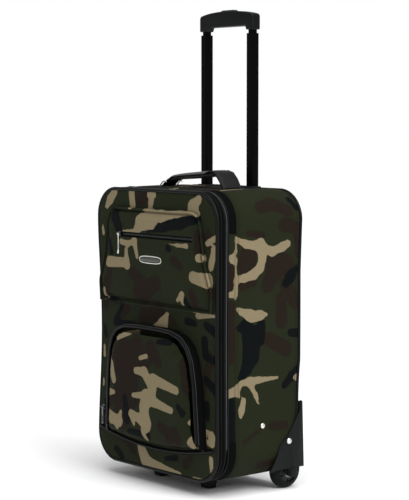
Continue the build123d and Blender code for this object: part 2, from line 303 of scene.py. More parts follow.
# %% [markdown]
# ## Cloth finishes
#
# The print is a woodland camouflage: green ground with brown, near-black blue and pale tan shapes whose edges
# are sharp. The shapes are drawn in Python as strokes, and each camouflage piece carries its distance to them
# as an attribute, because a distance is smooth between vertices and still gives a sharp edge when the shader
# cuts it. The weave and the fading come from Object coordinates.

# %% Printed polyester
GREEN = rgb(0.0100, 0.0134, 0.0050)
GREEN_WORN = rgb(0.0142, 0.0176, 0.0076)
BROWN = rgb(0.0122, 0.0080, 0.0050)
NAVY = rgb(0.0012, 0.0022, 0.0027)
TAN = rgb(0.222, 0.180, 0.108)
TAN_DARK = rgb(0.185, 0.150, 0.088)


def camouflage(name):
    """The printed cloth of the shell."""
    material, shader, place = new_material(name)
    wobble = speckle(place, 150, 3, 0.6)
    fine = speckle(place, 600, 2)
    threads = weave(place, 0.0009)
    fade = speckle(place, 9, 3)
    colour = fade.mix(GREEN, GREEN_WORN)
    for attribute, tint, swing in (("brown", BROWN, 5.0), ("navy", NAVY, 4.0)):
        distance = place.node("Attribute", {"attribute_name": attribute}, {}, output=2)
        inside = 1 - (distance + (wobble - 0.5) * swing).step(-0.5, 0.5)
        colour = inside.mix(colour, tint)
    distance = place.node("Attribute", {"attribute_name": "tan"}, {}, output=2)
    edge = distance + (wobble - 0.5) * 2.6 + (fine - 0.5) * 0.6
    tan = fine.mix(TAN_DARK, TAN)
    colour = (1 - edge.step(-0.35, 0.35)).mix(colour, tan)
    shade = threads * 0.3 + fine * 0.25 + 0.72
    lit = place.node("VectorMath", {"operation": "SCALE"}, {0: colour, "Scale": shade})
    height = threads + fine * 0.4
    connect(shader, Base_Color=lit, Roughness=0.86 - fine * 0.14, Normal=raise_by(place, height, 0.00022))
    fix(shader, Specular_IOR_Level=0.06, Sheen_Weight=0.01, Sheen_Roughness=0.5)
    return material


camo = camouflage("printed_polyester")


# %% Black cloths, lining and zipper tape
def plain_cloth(name, dark, light, pitch, depth, rough=0.8, gloss=0.03, sheen=0.0):
    """A woven cloth of one colour, with thread shading and slow fading."""
    material, shader, place = new_material(name)
    threads = weave(place, pitch)
    fade = speckle(place, 14, 3)
    fine = speckle(place, 900, 2)
    colour = (threads * 0.5 + fade * 0.35 + fine * 0.15).mix(dark, light)
    height = threads + fine * 0.3
    connect(shader, Base_Color=colour, Roughness=rough + (fade - 0.5) * 0.16, Normal=raise_by(place, height, depth))
    fix(shader, Specular_IOR_Level=gloss, Sheen_Weight=sheen, Sheen_Roughness=0.45)
    return material


black_cloth = plain_cloth("coarse_black_polyester", rgb(0.0008, 0.0010, 0.0009), rgb(0.0032, 0.0036, 0.0032),
                          0.0016, 0.00035)
lining_cloth = plain_cloth("thin_lining", rgb(0.030, 0.031, 0.032), rgb(0.055, 0.056, 0.058), 0.0007, 0.0001)
tape_cloth = plain_cloth("zipper_tape", rgb(0.0040, 0.0042, 0.0044), rgb(0.0120, 0.0125, 0.0130), 0.0006, 0.00012)
thread = plain_cloth("sewing_thread", rgb(0.0060, 0.0070, 0.0050), rgb(0.0220, 0.0240, 0.0180), 0.0004, 0.00008)

# %% [markdown]
# ## Moulded, painted and metal finishes
#
# The rest is vinyl, moulded plastic, painted tube, polyurethane and a little bright metal. They share one
# recipe: a dark or bright ground, slow variation in colour and roughness, and a fine relief of the right size.


# %% One recipe for hard finishes
def hard_finish(name, dark, light, rough, grain, depth, metal=0.0, gloss=0.4, coat=0.0, spread=0.12, streak=None):
    """A hard finish: two close colours, a roughness with its spread, and a grain given per metre."""
    material, shader, place = new_material(name)
    source = place
    if streak:
        source = place.node("Mapping", {}, {"Vector": place, "Scale": streak})
    slow = speckle(place, 22, 3)
    fine = speckle(source, grain, 3, 0.6)
    colour = (slow * 0.6 + fine * 0.4).mix(dark, light)
    scuffs = speckle(place, 130, 4, 0.7).step(0.60, 0.74)
    roughness = rough + (slow - 0.5) * spread + (fine - 0.5) * spread + scuffs * 0.10
    connect(shader, Base_Color=colour, Roughness=roughness, Normal=raise_by(place, fine, depth))
    fix(shader, Metallic=metal, Specular_IOR_Level=gloss, Coat_Weight=coat, Coat_Roughness=0.25)
    return material


vinyl = hard_finish("satin_vinyl", rgb(0.0010, 0.0014, 0.0014), rgb(0.0026, 0.0032, 0.0032), 0.38, 700, 0.00010,
                    gloss=0.13)
# The carry pad's pale grey is painted light: its top is coloured lighter where the light from above falls.
painted_light_vinyl = hard_finish("pad_vinyl_painted_top_light", rgb(0.050, 0.052, 0.051), rgb(0.090, 0.092, 0.091), 0.45, 900, 0.00030,
                         gloss=0.45)
leather = hard_finish("grained_vinyl", rgb(0.0036, 0.0036, 0.0036), rgb(0.0080, 0.0080, 0.0080), 0.46, 900, 0.00030,
                      gloss=0.18)
moulded = hard_finish("moulded_black", rgb(0.0045, 0.0055, 0.0050), rgb(0.0085, 0.0098, 0.0090), 0.50, 1500, 0.00006,
                      gloss=0.10)
grip_finish = hard_finish("grip_satin", rgb(0.0024, 0.0032, 0.0030), rgb(0.0046, 0.0056, 0.0052), 0.36, 1300, 0.00003,
                          gloss=0.12)
button_finish = hard_finish("button_satin", rgb(0.007, 0.0075, 0.008), rgb(0.012, 0.0125, 0.013), 0.40, 1300, 0.00003,
                            gloss=0.2)
tube_paint = hard_finish("painted_tube", rgb(0.0004, 0.0006, 0.0005), rgb(0.0010, 0.0013, 0.0011), 0.36, 260, 0.00002,
                         gloss=0.04, streak=(6.0, 6.0, 0.4))
steel = hard_finish("plain_steel", rgb(0.16, 0.16, 0.17), rgb(0.24, 0.24, 0.25), 0.34, 500, 0.00002, metal=1.0,
                    streak=(1.0, 1.0, 8.0))
bright = hard_finish("nickel_plate", rgb(0.66, 0.65, 0.61), rgb(0.82, 0.81, 0.77), 0.40, 800, 0.00001, metal=1.0)
dark_nickel = hard_finish("dark_nickel", rgb(0.10, 0.105, 0.11), rgb(0.17, 0.17, 0.175), 0.34, 800, 0.00001, metal=1.0)
enamel = hard_finish("badge_fill", rgb(0.032, 0.034, 0.026), rgb(0.050, 0.052, 0.042), 0.30, 500, 0.00001, gloss=0.5)
tyre_finish = hard_finish("polyurethane", rgb(0.0020, 0.0028, 0.0024), rgb(0.0050, 0.0062, 0.0054), 0.50, 600,
                          0.00008, gloss=0.09, spread=0.2)
hub_finish = hard_finish("hub_nylon", rgb(0.006, 0.007, 0.007), rgb(0.014, 0.015, 0.015), 0.42, 900, 0.00004, gloss=0.25)
foot_finish = hard_finish("foot_rubber", rgb(0.004, 0.0045, 0.0045), rgb(0.009, 0.0095, 0.0095), 0.62, 900, 0.00008,
                          gloss=0.2)
board_finish = hard_finish("sheet_plastic", rgb(0.05, 0.05, 0.05), rgb(0.08, 0.08, 0.08), 0.55, 400, 0.00005)
# The coil's dark grey, lighter than its black tape, is partly painted highlight for the bright glint line along the
# zipper; its gloss gives a real highlight as well.
coil_finish = hard_finish("zipper_coil", rgb(0.020, 0.021, 0.023), rgb(0.045, 0.046, 0.050), 0.30, 900, 0.00001,
                          gloss=0.6)
print(len(bpy.data.materials), "finishes")

# %% CAD nodes that keep their own mesh get these finishes
FINISH_OF = {
    "piping": vinyl, "lining": lining_cloth, "stiffener": board_finish, "zipper_tape": tape_cloth,
    "bright_metal": dark_nickel, "badge_enamel": enamel, "black_plastic": moulded, "grip_plastic": grip_finish,
    "button_plastic": button_finish, "black_tube": tube_paint, "steel": steel, "tyre": tyre_finish,
    "hub_plastic": hub_finish, "foot_plastic": foot_finish, "handle_leather": leather, "camo_fabric": camo,
    "black_fabric": black_cloth,
}
for part in frame["record"]["subparts"]:
    node = frame["nodes"][part["node"]]
    if not node.material_slots:
        node.data.materials.append(None)
    for material_slot in node.material_slots:
        material_slot.material = tube_paint if part["node"] == "stage_studs" else FINISH_OF[part["material_slot"]]

# %% [markdown]
# ## The print, drawn as strokes
#
# Each stroke is (u, v, u, v, first radius, last radius) in millimetres, like a marker line that swells or
# thins. On the front, u and v are width and height. On the wall that runs round the case, u is the depth and v
# runs up the right side, over the top and down the left. Faces nobody drew get seeded random branches.

# %% Strokes of the front
FRONT_TAN = [
    (-114, 500, -126, 487, 8, 8), (-126, 487, -137, 474, 8, 5), (-66, 503, -61, 480, 8, 8), (-18, 500, 0, 499, 4, 4),
    (-8, 498, -10, 486, 8, 6), (-10, 486, -13, 477, 6, 3), (118, 495, 102, 484, 8, 10), (102, 484, 116, 472, 10, 6),
    (-20, 468, -30, 454, 5, 11), (-30, 454, -36, 442, 11, 8), (-15, 467, 27, 464, 8, 9.5), (27, 464, 72, 470, 9.5, 5),
    (72, 470, 119, 473, 5, 2), (-42, 439, 4, 448, 4, 7), (-20, 455, 10, 457, 10, 9), (-78, 434, -38, 437, 2, 3),
    (-84, 416, -64, 413, 5, 5), (-64, 413, -44, 419, 4, 5), (-46, 418, -38, 392, 6, 4), (-120, 379, -74, 380, 10, 8),
    (-70, 402, -66, 376, 4, 8), (50, 419, 72, 418, 0.8, 2), (72, 418, 97, 418, 2, 4.5), (126, 400, 132, 400, 7, 7), (140, 424, 160, 434, 5, 5),
    (158, 414, 150, 386, 7, 6), (118, 368, 146, 368, 8, 8), (112, 368, 148, 358, 9, 7), (72, 326, 84, 336, 3, 4), (84, 336, 84, 314, 6, 2),
    (-134, 330, -132, 316, 3, 4), (-150, 440, -146, 426, 3, 4), (38, 303, 20, 283, 2.5, 8), (20, 283, 4, 275, 8, 4.5), (4, 275, -8, 271, 4.5, 2), (34, 298, 34, 277, 3, 3),
    (116, 304, 158, 307, 6, 3), (152, 108, 152, 95, 8, 7), (150, 70, 153, 46, 5, 4), (-146, 228, -146, 210, 3, 4),
    (-148, 168, -148, 154, 3, 3), (-38, 60, -28, 42, 11, 13), (-28, 40, 14, 35, 11, 7), (14, 35, 68, 31, 7, 4),
    (102, 30, 134, 30, 3, 3), (-76, 253, -42, 262, 7, 4), (-112, 218, -98, 200, 6, 8), (-98, 200, -88, 176, 9, 7), (-102, 112, -70, 104, 10, 8), (-104, 153, -88, 154, 7, 4),
    (-100, 105, -70, 108, 8, 7), (-66, 122, -80, 94, 4, 5), (-10, 222, 8, 227, 4, 4), (-22, 199, 2, 200, 6, 8),
    (2, 198, 26, 172, 9, 9), (26, 190, 88, 178, 10, 7), (-30, 156, 6, 160, 4, 7), (6, 162, 0, 128, 9, 8),
    (24, 152, 74, 143, 9, 6), (-36, 124, 8, 112, 6, 12), (0, 140, 6, 108, 12, 12), (12, 152, 22, 158, 11, 11), (-36, 122, -28, 106, 6, 3),
    (120, 128, 128, 135, 4, 5), (138, 115, 120, 90, 5, 8), (132, 92, 142, 95, 4, 3), (-4, 98, 4, 86, 4, 5),
]
FRONT_NAVY = [
    (-7, 440, 35, 448, 6, 9.5), (35, 448, 79, 455, 9.5, 10), (79, 455, 118, 463, 10, 8), (-104, 462, -90, 440, 12, 10), (-119, 416, -112, 396, 6, 6),
    (46, 412, 52, 410, 6, 5), (-118, 316, -104, 312, 8, 6), (88, 330, 96, 322, 6, 8), (88, 292, 110, 290, 7, 5),
    (-86, 310, -110, 276, 3, 7), (-110, 272, -60, 276, 6, 3), (138, 290, 160, 280, 7, 9), (134, 264, 136, 246, 9, 8),
    (134, 238, 160, 233, 5, 8), (138, 200, 164, 182, 7, 9), (-54, 148, -48, 112, 7, 9), (-42, 92, 10, 90, 6, 8),
    (140, 158, 142, 136, 8, 6), (38, 254, 70, 258, 4, 7), (92, 152, 104, 142, 5, 7), (-140, 130, -136, 108, 6, 7),
    (30, 52, 60, 58, 4, 6), (-112, 50, -96, 38, 6, 8), (-144, 262, -140, 246, 5, 6),
]
FRONT_BROWN = [
    (-18, 494, -42, 490, 9, 12), (14, 350, -30, 330, 14, 20), (-54, 366, -30, 352, 10, 12), (20, 300, -30, 290, 12, 14),
    (122, 440, 126, 410, 7, 9), (136, 436, 158, 402, 4, 4), (-60, 230, -60, 120, 26, 26), (-20, 240, -14, 215, 20, 20), (-30, 200, -30, 170, 16, 16), (-20, 148, -34, 134, 7, 6),
    (20, 240, 40, 220, 16, 10), (108, 224, 116, 190, 12, 14), (46, 112, 90, 96, 9, 11), (-130, 350, -140, 300, 5, 8),
    (-80, 300, -92, 288, 10, 8), (110, 340, 118, 326, 8, 10), (84, 50, 96, 62, 9, 7), (-84, 70, -60, 52, 7, 8),
    (150, 356, 160, 340, 5, 7), (-152, 120, -150, 80, 4, 6), (142, 448, 158, 420, 3, 6), (62, 392, 80, 384, 9, 6),
]

# %% Strokes of the wall that runs round the case
BAND_TAN = [
    (-46, 432, -26, 422, 3, 6), (-26, 422, -8, 419, 6, 6.5), (-8, 419, 7, 424, 6.5, 6), (7, 424, 16, 413, 6, 6),
    (16, 412, 31, 407, 6.5, 7), (31, 407, 53, 414, 7, 7), (53, 414, 65, 419, 7, 6.5), (5, 416, 10, 396, 7.5, 7),
    (10, 396, 5, 381, 7, 7.5), (5, 381, -9, 371, 7.5, 8), (-9, 371, -29, 366, 8, 6), (-29, 366, -46, 363, 6, 4),
    (-46, 431, -46, 411, 2, 2), (-46, 411, -54, 398, 2, 5), (-56, 400, -47, 396, 5, 4), (-46, 395, -46, 352, 2, 3), (-46, 352, -46, 330, 3, 2),
    (-57, 340, -46, 342, 5, 4), (-46, 318, -35, 311, 1, 4.5), (-35, 311, -17, 304, 5, 9), (-17, 304, 7, 301, 9, 6),
    (7, 301, 18, 303, 6, 3.5), (-12, 298, -2, 296, 6, 3), (2, 307, 8, 310, 3, 2),
    (-35, 192, -17, 194, 4.5, 6), (-17, 194, 2, 194, 6, 5), (2, 194, 43, 194, 5, 3), (-17, 191, -3, 168, 5, 3.5),
    (-3, 168, 3, 152, 3.5, 2), (-38, 188, -47, 180, 4, 6), (-60, 176, -46, 180, 7, 7), (-46, 178, -40, 172, 5, 3),
    (-29, 163, -34, 147, 5, 5.5), (-34, 147, -35, 135, 5.5, 3), (85, 191, 98, 190, 5.5, 7.5), (-36, 536, 10, 540, 4, 5),
]
BAND_NAVY = [
    (86, 376, 72, 363, 7, 10), (72, 363, 61, 352, 10, 8), (-38, 284, -24, 286, 6, 8), (-26, 291, -14, 268, 9, 17),
    (8, 288, 4, 262, 9, 12), (-14, 268, -14, 235, 19, 17), (-14, 235, -23, 216, 17, 11), (-23, 216, -36, 200, 11, 6),
    (72, 268, 94, 266, 7, 8), (78, 494, 88, 478, 6, 6), (92, 206, 76, 194, 8, 8), (76, 194, 60, 180, 8, 7),
    (-55, 162, -54, 138, 9, 9), (-55, 126, -54, 82, 9, 9), (86, 44, 92, 40, 4, 4), (40, 560, 60, 575, 8, 9),
]
BAND_BROWN = [
    (7, 481, 37, 487, 10, 12), (37, 487, 68, 474, 12, 10), (56, 450, 82, 446, 12, 11), (32, 392, 62, 384, 18, 18),
    (84, 430, 90, 402, 6, 9), (42, 384, 22, 352, 18, 14), (60, 350, 84, 320, 12, 14),
    (-22, 440, 12, 436, 5, 6), (-20, 405, -23, 387, 18, 19), (50, 328, 52, 290, 10, 14), (-32, 354, -10, 358, 9, 8),
    (22, 262, 62, 242, 12, 14), (-30, 92, 6, 110, 4, 4), (30, 114, 62, 112, 8, 8), (10, 48, 44, 50, 8, 8),
    (-55, 392, -54, 350, 8, 8), (-55, 322, -54, 232, 8, 8), (-55, 60, -50, 44, 6, 6),
]


# %% Random branches for the faces nobody drew
def branches(seed, low, high, count, size, length):
    """Strokes of short random walks, in a rectangle from its low corner to its high corner."""
    draw = random.Random(seed)
    strokes = []
    for _ in range(count):
        u, v = draw.uniform(low[0], high[0]), draw.uniform(low[1], high[1])
        heading = draw.uniform(0, 2 * math.pi)
        radius = draw.uniform(*size)
        for _ in range(draw.randint(2, 4)):
            heading += draw.uniform(-1.1, 1.1)
            run = draw.uniform(*length)
            next_u, next_v = u + run * math.cos(heading), v + run * math.sin(heading)
            next_radius = radius * draw.uniform(0.6, 1.25)
            strokes.append((u, v, next_u, next_v, radius, next_radius))
            u, v, radius = next_u, next_v, next_radius
    return strokes


ROUND = 1540.0        # length of the outline, in mm
BAND_TAN += branches(11, (-60, 590), (95, ROUND - 30), 34, (5, 9), (12, 30))
BAND_NAVY += branches(12, (-60, 560), (95, ROUND - 30), 34, (6, 11), (12, 30))
BAND_BROWN += branches(13, (-60, 560), (95, ROUND - 30), 46, (9, 16), (14, 34))
FRONT_BROWN += branches(14, (-150, 40), (150, 500), 10, (5, 8), (10, 22))
BACK_TAN = branches(29, (-150, 40), (150, 500), 26, (6, 10), (14, 34))
BACK_NAVY = branches(22, (-150, 40), (150, 500), 26, (7, 12), (14, 34))
BACK_BROWN = branches(23, (-150, 40), (150, 500), 32, (10, 18), (16, 36))

# %% [markdown]
# ## The case's outline, and how it sags
#
# Seen from the front the case is a rounded rectangle. The cloth between its corners is drawn inwards, most on
# the left side where the lid is widest from its stiffener. One rule moves every sewn piece, so seams that
# meet before it still meet after it.

# %% Outline and sag
side_low, side_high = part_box("side_band")
HALF_W = side_high.x / MM
TOP = side_high.z / MM
BOTTOM = side_low.z / MM
MIDDLE = (TOP + BOTTOM) / 2
CORNER = 50.0
SEAM_Y = side_low.y / MM
WALL_BACK = side_high.y / MM
STRAIGHT_X = HALF_W - CORNER
STRAIGHT_Z = (TOP - BOTTOM) / 2 - CORNER
ARC = CORNER * math.pi / 2


def sag(points):
    """Draws points (in mm) inwards between the case's upper and lower corners."""
    moved = np.array(points, dtype=float)
    x, y, z = moved.T.copy()
    bow = np.sin(np.pi * np.clip((z - 80) / 370, 0, 1)) ** 1.5
    back = np.clip((y + 87) / 181, 0, 1)
    amount = np.where(x < 0, 10.5 - 4.0 * back, 1.5 - 2.3 * back)
    moved[:, 0] -= np.sign(x) * amount * bow * np.clip(np.abs(x) / HALF_W, 0, 1.02) ** 4
    above_wheels = np.clip((z - 150) / 70, 0, 1) ** 2
    upper = np.clip((z - 370) / 90, 0, 1)
    rear = np.clip((y - 10) / 80, 0, 1)
    moved[:, 1] += np.clip((y - 70) / 18, 0, 1) * above_wheels * (2.6 + 2.2 * upper)
    moved[:, 0] += np.where(x > 0, rear * above_wheels * (1.4 + 1.8 * upper) * np.clip(x / HALF_W, 0, 1.02) ** 4, 0)
    return moved


def outline(grow, y, step=4.0, closed=True, low=None):
    """Points (in mm) round the outline grown by grow, from the right side's foot upwards, at depth y."""
    radius = CORNER + grow
    points = []

    def line(x0, z0, x1, z1):
        count = max(1, round(math.hypot(x1 - x0, z1 - z0) / step))
        points.extend((x0 + (x1 - x0) * i / count, y, z0 + (z1 - z0) * i / count) for i in range(count))

    def arc(cx, cz, start):
        count = max(6, round(radius * math.pi / 2 / step))
        for i in range(count):
            angle = start + math.pi / 2 * i / count
            points.append((cx + radius * math.cos(angle), y, cz + radius * math.sin(angle)))

    right, top, bottom = HALF_W + grow, TOP + grow, BOTTOM - grow
    line(right, MIDDLE - STRAIGHT_Z, right, MIDDLE + STRAIGHT_Z)
    arc(STRAIGHT_X, MIDDLE + STRAIGHT_Z, 0)
    line(STRAIGHT_X, top, -STRAIGHT_X, top)
    arc(-STRAIGHT_X, MIDDLE + STRAIGHT_Z, math.pi / 2)
    line(-right, MIDDLE + STRAIGHT_Z, -right, MIDDLE - STRAIGHT_Z)
    arc(-STRAIGHT_X, MIDDLE - STRAIGHT_Z, math.pi)
    line(-STRAIGHT_X, bottom, STRAIGHT_X, bottom)
    arc(STRAIGHT_X, MIDDLE - STRAIGHT_Z, 1.5 * math.pi)
    points = np.array(points)
    if not closed:
        order = np.roll(np.arange(len(points)), -int(np.argmin(points[:, 2] + (points[:, 0] < 0) * 1e4)))
        points = points[order]
        points = points[points[:, 2] > low]
        start = int(np.argmax(np.linalg.norm(np.diff(points, axis=0), axis=1)))
        points = np.vstack([points[start + 1:], points[:start + 1]]) if start < len(points) - 2 else points
    return sag(points)


def outward(points):
    """Unit vectors away from the outline's inner rectangle, in the plane of the front."""
    away = np.zeros_like(points)
    away[:, 0] = points[:, 0] - np.clip(points[:, 0], -STRAIGHT_X, STRAIGHT_X)
    away[:, 2] = points[:, 2] - np.clip(points[:, 2], MIDDLE - STRAIGHT_Z, MIDDLE + STRAIGHT_Z)
    return away / np.maximum(np.linalg.norm(away, axis=1, keepdims=True), 1e-6)


def round_the_case(points):
    """How far along the outline each point is: its height on the right side, growing over the top."""
    x, z = points[:, 0], points[:, 2]
    top, low = MIDDLE + STRAIGHT_Z, MIDDLE - STRAIGHT_Z
    dx, dz_top, dz_low = np.abs(x) - STRAIGHT_X, z - top, low - z
    turn_top = np.arctan2(np.maximum(dz_top, 0), np.maximum(dx, 1e-6)) * CORNER
    turn_low = np.arctan2(np.maximum(dz_low, 0), np.maximum(dx, 1e-6)) * CORNER
    right = np.where(z > top, top + turn_top, np.where(z < low, low - turn_low, z))
    flat = np.abs(x) < STRAIGHT_X
    over = top + ARC + (STRAIGHT_X - x)
    under = low - ARC - (STRAIGHT_X - x)
    left_top = top + ARC + 2 * STRAIGHT_X + ARC
    left = left_top - turn_top * (z > top) + (top - np.clip(z, low, top)) + turn_low * (z < low)
    along = np.where(x > 0, right, left)
    along = np.where(flat & (z > MIDDLE), over, along)
    under = np.where(under < -40, under + ROUND, under)
    return np.where(flat & (z < MIDDLE), under, along)


# %% Distances to the strokes, kept on each mesh
def distance_to(places, strokes, blur=2.2):
    """Distance (in mm) from each place to the nearest stroke's edge, negative inside, softly joined."""
    total = np.zeros(len(places))
    for u0, v0, u1, v1, radius0, radius1 in strokes:
        start, run = np.array((u0, v0), float), np.array((u1 - u0, v1 - v0), float)
        t = np.clip((places - start) @ run / max(run @ run, 1e-6), 0, 1)
        gap = np.linalg.norm(places - start - t[:, None] * run, axis=1) - (radius0 + (radius1 - radius0) * t)
        total += np.exp(-np.clip(gap, -25, 40) / blur)
    return -blur * np.log(total + 1e-12)


def print_camouflage(piece, face="front"):
    """Stores the piece's distances to the print's strokes in three attributes."""
    mesh = piece.data
    flat = np.empty(len(mesh.vertices) * 3)
    mesh.vertices.foreach_get("co", flat)
    points = flat.reshape(-1, 3) / MM
    if face == "band":
        places = np.column_stack([points[:, 1], round_the_case(points)])
        sets = (("tan", BAND_TAN), ("navy", BAND_NAVY), ("brown", BAND_BROWN))
    elif face == "back":
        places = points[:, [0, 2]]
        sets = (("tan", BACK_TAN), ("navy", BACK_NAVY), ("brown", BACK_BROWN))
    else:
        places = points[:, [0, 2]]
        sets = (("tan", FRONT_TAN), ("navy", FRONT_NAVY), ("brown", FRONT_BROWN))
    for key, strokes in sets:
        layer = mesh.attributes.get(key) or mesh.attributes.new(key, "FLOAT", "POINT")
        layer.data.foreach_set("value", np.clip(distance_to(places, strokes), -20, 30).astype(np.float32))
    return piece


# %% [markdown]
# ## Bands of cloth round the case
#
# The side wall, the strip in front of it, the black lid gusset and the lining are all one thing: the outline
# swept along the depth. A plane is rounded at its corners by a vertex bevel, its face is deleted, and the
# loop that is left is extruded backwards step by step, the way a wall is drawn up from a floor plan.

# %% Sweep the outline along the depth
def draw_back(piece, depths):
    """Extrudes a loop or a line of edges from the first depth (in mm) to the last, and cuts it at the others."""
    select_all(piece, "EDGE")
    bpy.ops.mesh.extrude_edges_move(TRANSFORM_OT_translate={"value": (0, (depths[-1] - depths[0]) * MM, 0)})
    for depth in depths[1:-1]:
        bpy.ops.mesh.select_all(action="SELECT")
        bpy.ops.mesh.bisect(plane_co=(0, depth * MM, 0), plane_no=(0, 1, 0))
    bpy.ops.mesh.select_all(action="SELECT")
    bpy.ops.mesh.normals_make_consistent(inside=False)
    deselect()


def band(name, grow, depths, step=6.0):
    """A band of cloth round the case, with one ring of vertices at each depth (in mm)."""
    radius = CORNER + grow
    width, height = 2 * (HALF_W + grow), TOP - BOTTOM + 2 * grow
    deselect()
    bpy.ops.mesh.primitive_plane_add(size=1, location=(0, depths[0] * MM, MIDDLE * MM), rotation=(math.pi / 2, 0, 0))
    bpy.context.object.scale = (width * MM, height * MM, 1)
    piece = name_new(name)
    select_all(piece)
    bpy.ops.mesh.bevel(offset=radius * MM, offset_type="OFFSET", segments=14, profile=0.5, affect="VERTICES")
    select_all(piece, "FACE")
    bpy.ops.mesh.delete(type="ONLY_FACE")
    sides = ((lambda p, d: abs(d.x) > 0.999, width), (lambda p, d: abs(d.z) > 0.999, height))
    for test, length in sides:
        pick(piece, test, "EDGE")
        bpy.ops.mesh.subdivide(number_cuts=int((length - 2 * radius) / step))
    draw_back(piece, depths)
    if sum(p.normal.x * p.center.x + p.normal.z * (p.center.z - MIDDLE * MM) for p in piece.data.polygons) < 0:
        select_all(piece)
        bpy.ops.mesh.flip_normals()
        deselect()
    return piece


def depths_between(start, end, step):
    """Depths from start to end in equal steps."""
    count = max(1, round((end - start) / step))
    return [start + (end - start) * i / count for i in range(count + 1)]


def ripple(points, scale, seed):
    """Soft noise at each point, between about -1 and 1. The scale is in mm."""
    shift = Vector((seed * 17.3, seed * 5.1, seed * 9.7))
    return np.array([noise.noise(Vector(p) / scale + shift) for p in points])


def padded_wall(crown, folds, dip=1.4, seed=1):
    """A rule that swells a band between its two seams, with soft uneven padding."""
    def rule(points):
        y = points[:, 1]
        t = np.clip((y - y.min()) / (y.max() - y.min()), 0, 1)
        swell = crown * (1 - np.abs(2 * t - 1) ** 5) - dip * (np.abs(2 * t - 1) ** 14)
        calm = 1 - np.abs(2 * t - 1) ** 6
        swell = swell + calm * (folds * ripple(points, 62, seed) + folds * 0.35 * ripple(points, 23, seed + 3))
        return sag(points + outward(points) * swell[:, None])
    return rule


# %% Room for the wheels and the handle tubes
WHEEL = (147.0, 78.0, 30.0)
wheel_low, wheel_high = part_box("tyre_right")
print("wheel centre", [round(v / MM, 1) for v in (wheel_low + wheel_high) / 2])


def cutter_box(low, high):
    """A box from its low to its high corner in mm."""
    centre = [(a + b) / 2 * MM for a, b in zip(low, high)]
    deselect()
    bpy.ops.mesh.primitive_cube_add(size=1, location=centre)
    bpy.context.object.scale = [(b - a) * MM for a, b in zip(low, high)]
    return name_new("cutter")


def cut(piece, cutters, operation="DIFFERENCE"):
    """Cuts the piece with each cutter in turn and removes the cutters."""
    for cutter in cutters:
        modify(piece, "BOOLEAN", object=cutter, operation=operation, solver="EXACT")
        mesh = cutter.data
        bpy.data.objects.remove(cutter)
        bpy.data.meshes.remove(mesh)
    return piece


def wheel_cutters(radius=37.2, inner=129.8):
    """For each side, a round arch over the wheel and the room behind and below it."""
    cutters = []
    for side in (1, -1):
        middle = side * (inner + 80) / 1
        deselect()
        bpy.ops.mesh.primitive_cylinder_add(vertices=64, radius=radius * MM, depth=160 * MM,
                                            location=(middle * MM, WHEEL[1] * MM, WHEEL[2] * MM),
                                            rotation=(0, math.pi / 2, 0))
        cutters.append(name_new("cutter"))
        x0, x1 = sorted((side * inner, side * (inner + 120)))
        cutters.append(cutter_box((x0, WHEEL[1], -40), (x1, 220, WHEEL[2] + radius)))
        cutters.append(cutter_box((x0, WHEEL[1] - radius, -40), (x1, 221, WHEEL[2])))
    return cutters


def tube_cutters():
    """The two square holes in the top for the handle's outer tubes."""
    low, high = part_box("outer_tubes")
    half = 9.5
    x, y = high.x / MM - 9.3, (low.y + high.y) / 2 / MM
    return [cutter_box((side * x - half, y - half, 440), (side * x + half, y + half, 560)) for side in (1, -1)]


# %% Side wall
wall = band("side_wall", 0.0, [SEAM_Y, SEAM_Y + 1.5] + depths_between(SEAM_Y + 4, WALL_BACK - 4, 5) + [WALL_BACK])
push(wall, padded_wall(1.5, 0.55))
modify(wall, "SOLIDIFY", thickness=2.6 * MM, offset=-1)
cut(wall, wheel_cutters() + tube_cutters())
smooth(wall, 50)
print_camouflage(wall, "band")
finish_piece(wall, "root", camo, ["side_band"])

# %% Camouflage strip in front of the side wall, with black corners
strip_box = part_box("front_band")
strip_front, strip_back = strip_box[0].y / MM, strip_box[1].y / MM


def draw_in(points):
    """Narrows the strip towards the zipper, where its seam is pulled tight."""
    reach = np.clip((strip_back - points[:, 1]) / (strip_back - strip_front), 0, 1)
    return points - outward(points) * (3.2 * reach ** 1.5)[:, None]


strip = band("front_strip", -0.2, [strip_front, strip_front + 1.2] + depths_between(strip_front + 3, strip_back - 2, 3)
             + [strip_back])
push(strip, draw_in)
push(strip, padded_wall(0.8, 0.2, 1.0, seed=5))
modify(strip, "SOLIDIFY", thickness=2.4 * MM, offset=-1)
smooth(strip, 50)
print_camouflage(strip, "band")
finish_piece(strip, "root", camo, ["front_band"])

patches = band("corner_patches_cloth", 0.75, [strip_front - 0.1] + depths_between(strip_front + 2, strip_back - 1, 3)
               + [strip_back + 0.2])
push(patches, draw_in)
push(patches, padded_wall(0.9, 0.2, 1.0, seed=5))
pick(patches, lambda p, n: abs(p.x) < 112 or 92 < p.z < 440)
bpy.ops.mesh.delete(type="FACE")
modify(patches, "SOLIDIFY", thickness=0.9 * MM, offset=-1)
smooth(patches, 50)
finish_piece(patches, "root", black_cloth, ["corner_patches"])

# %% [markdown]
# ## The lid's gusset and front panel
#
# The gusset is another band. The front panel is flat cloth over a stiffener. It starts as a ring of a few
# vertices placed at its corners, which a vertex bevel rounds, and bisecting it along a grid gives it enough
# vertices to sag and to carry the print.

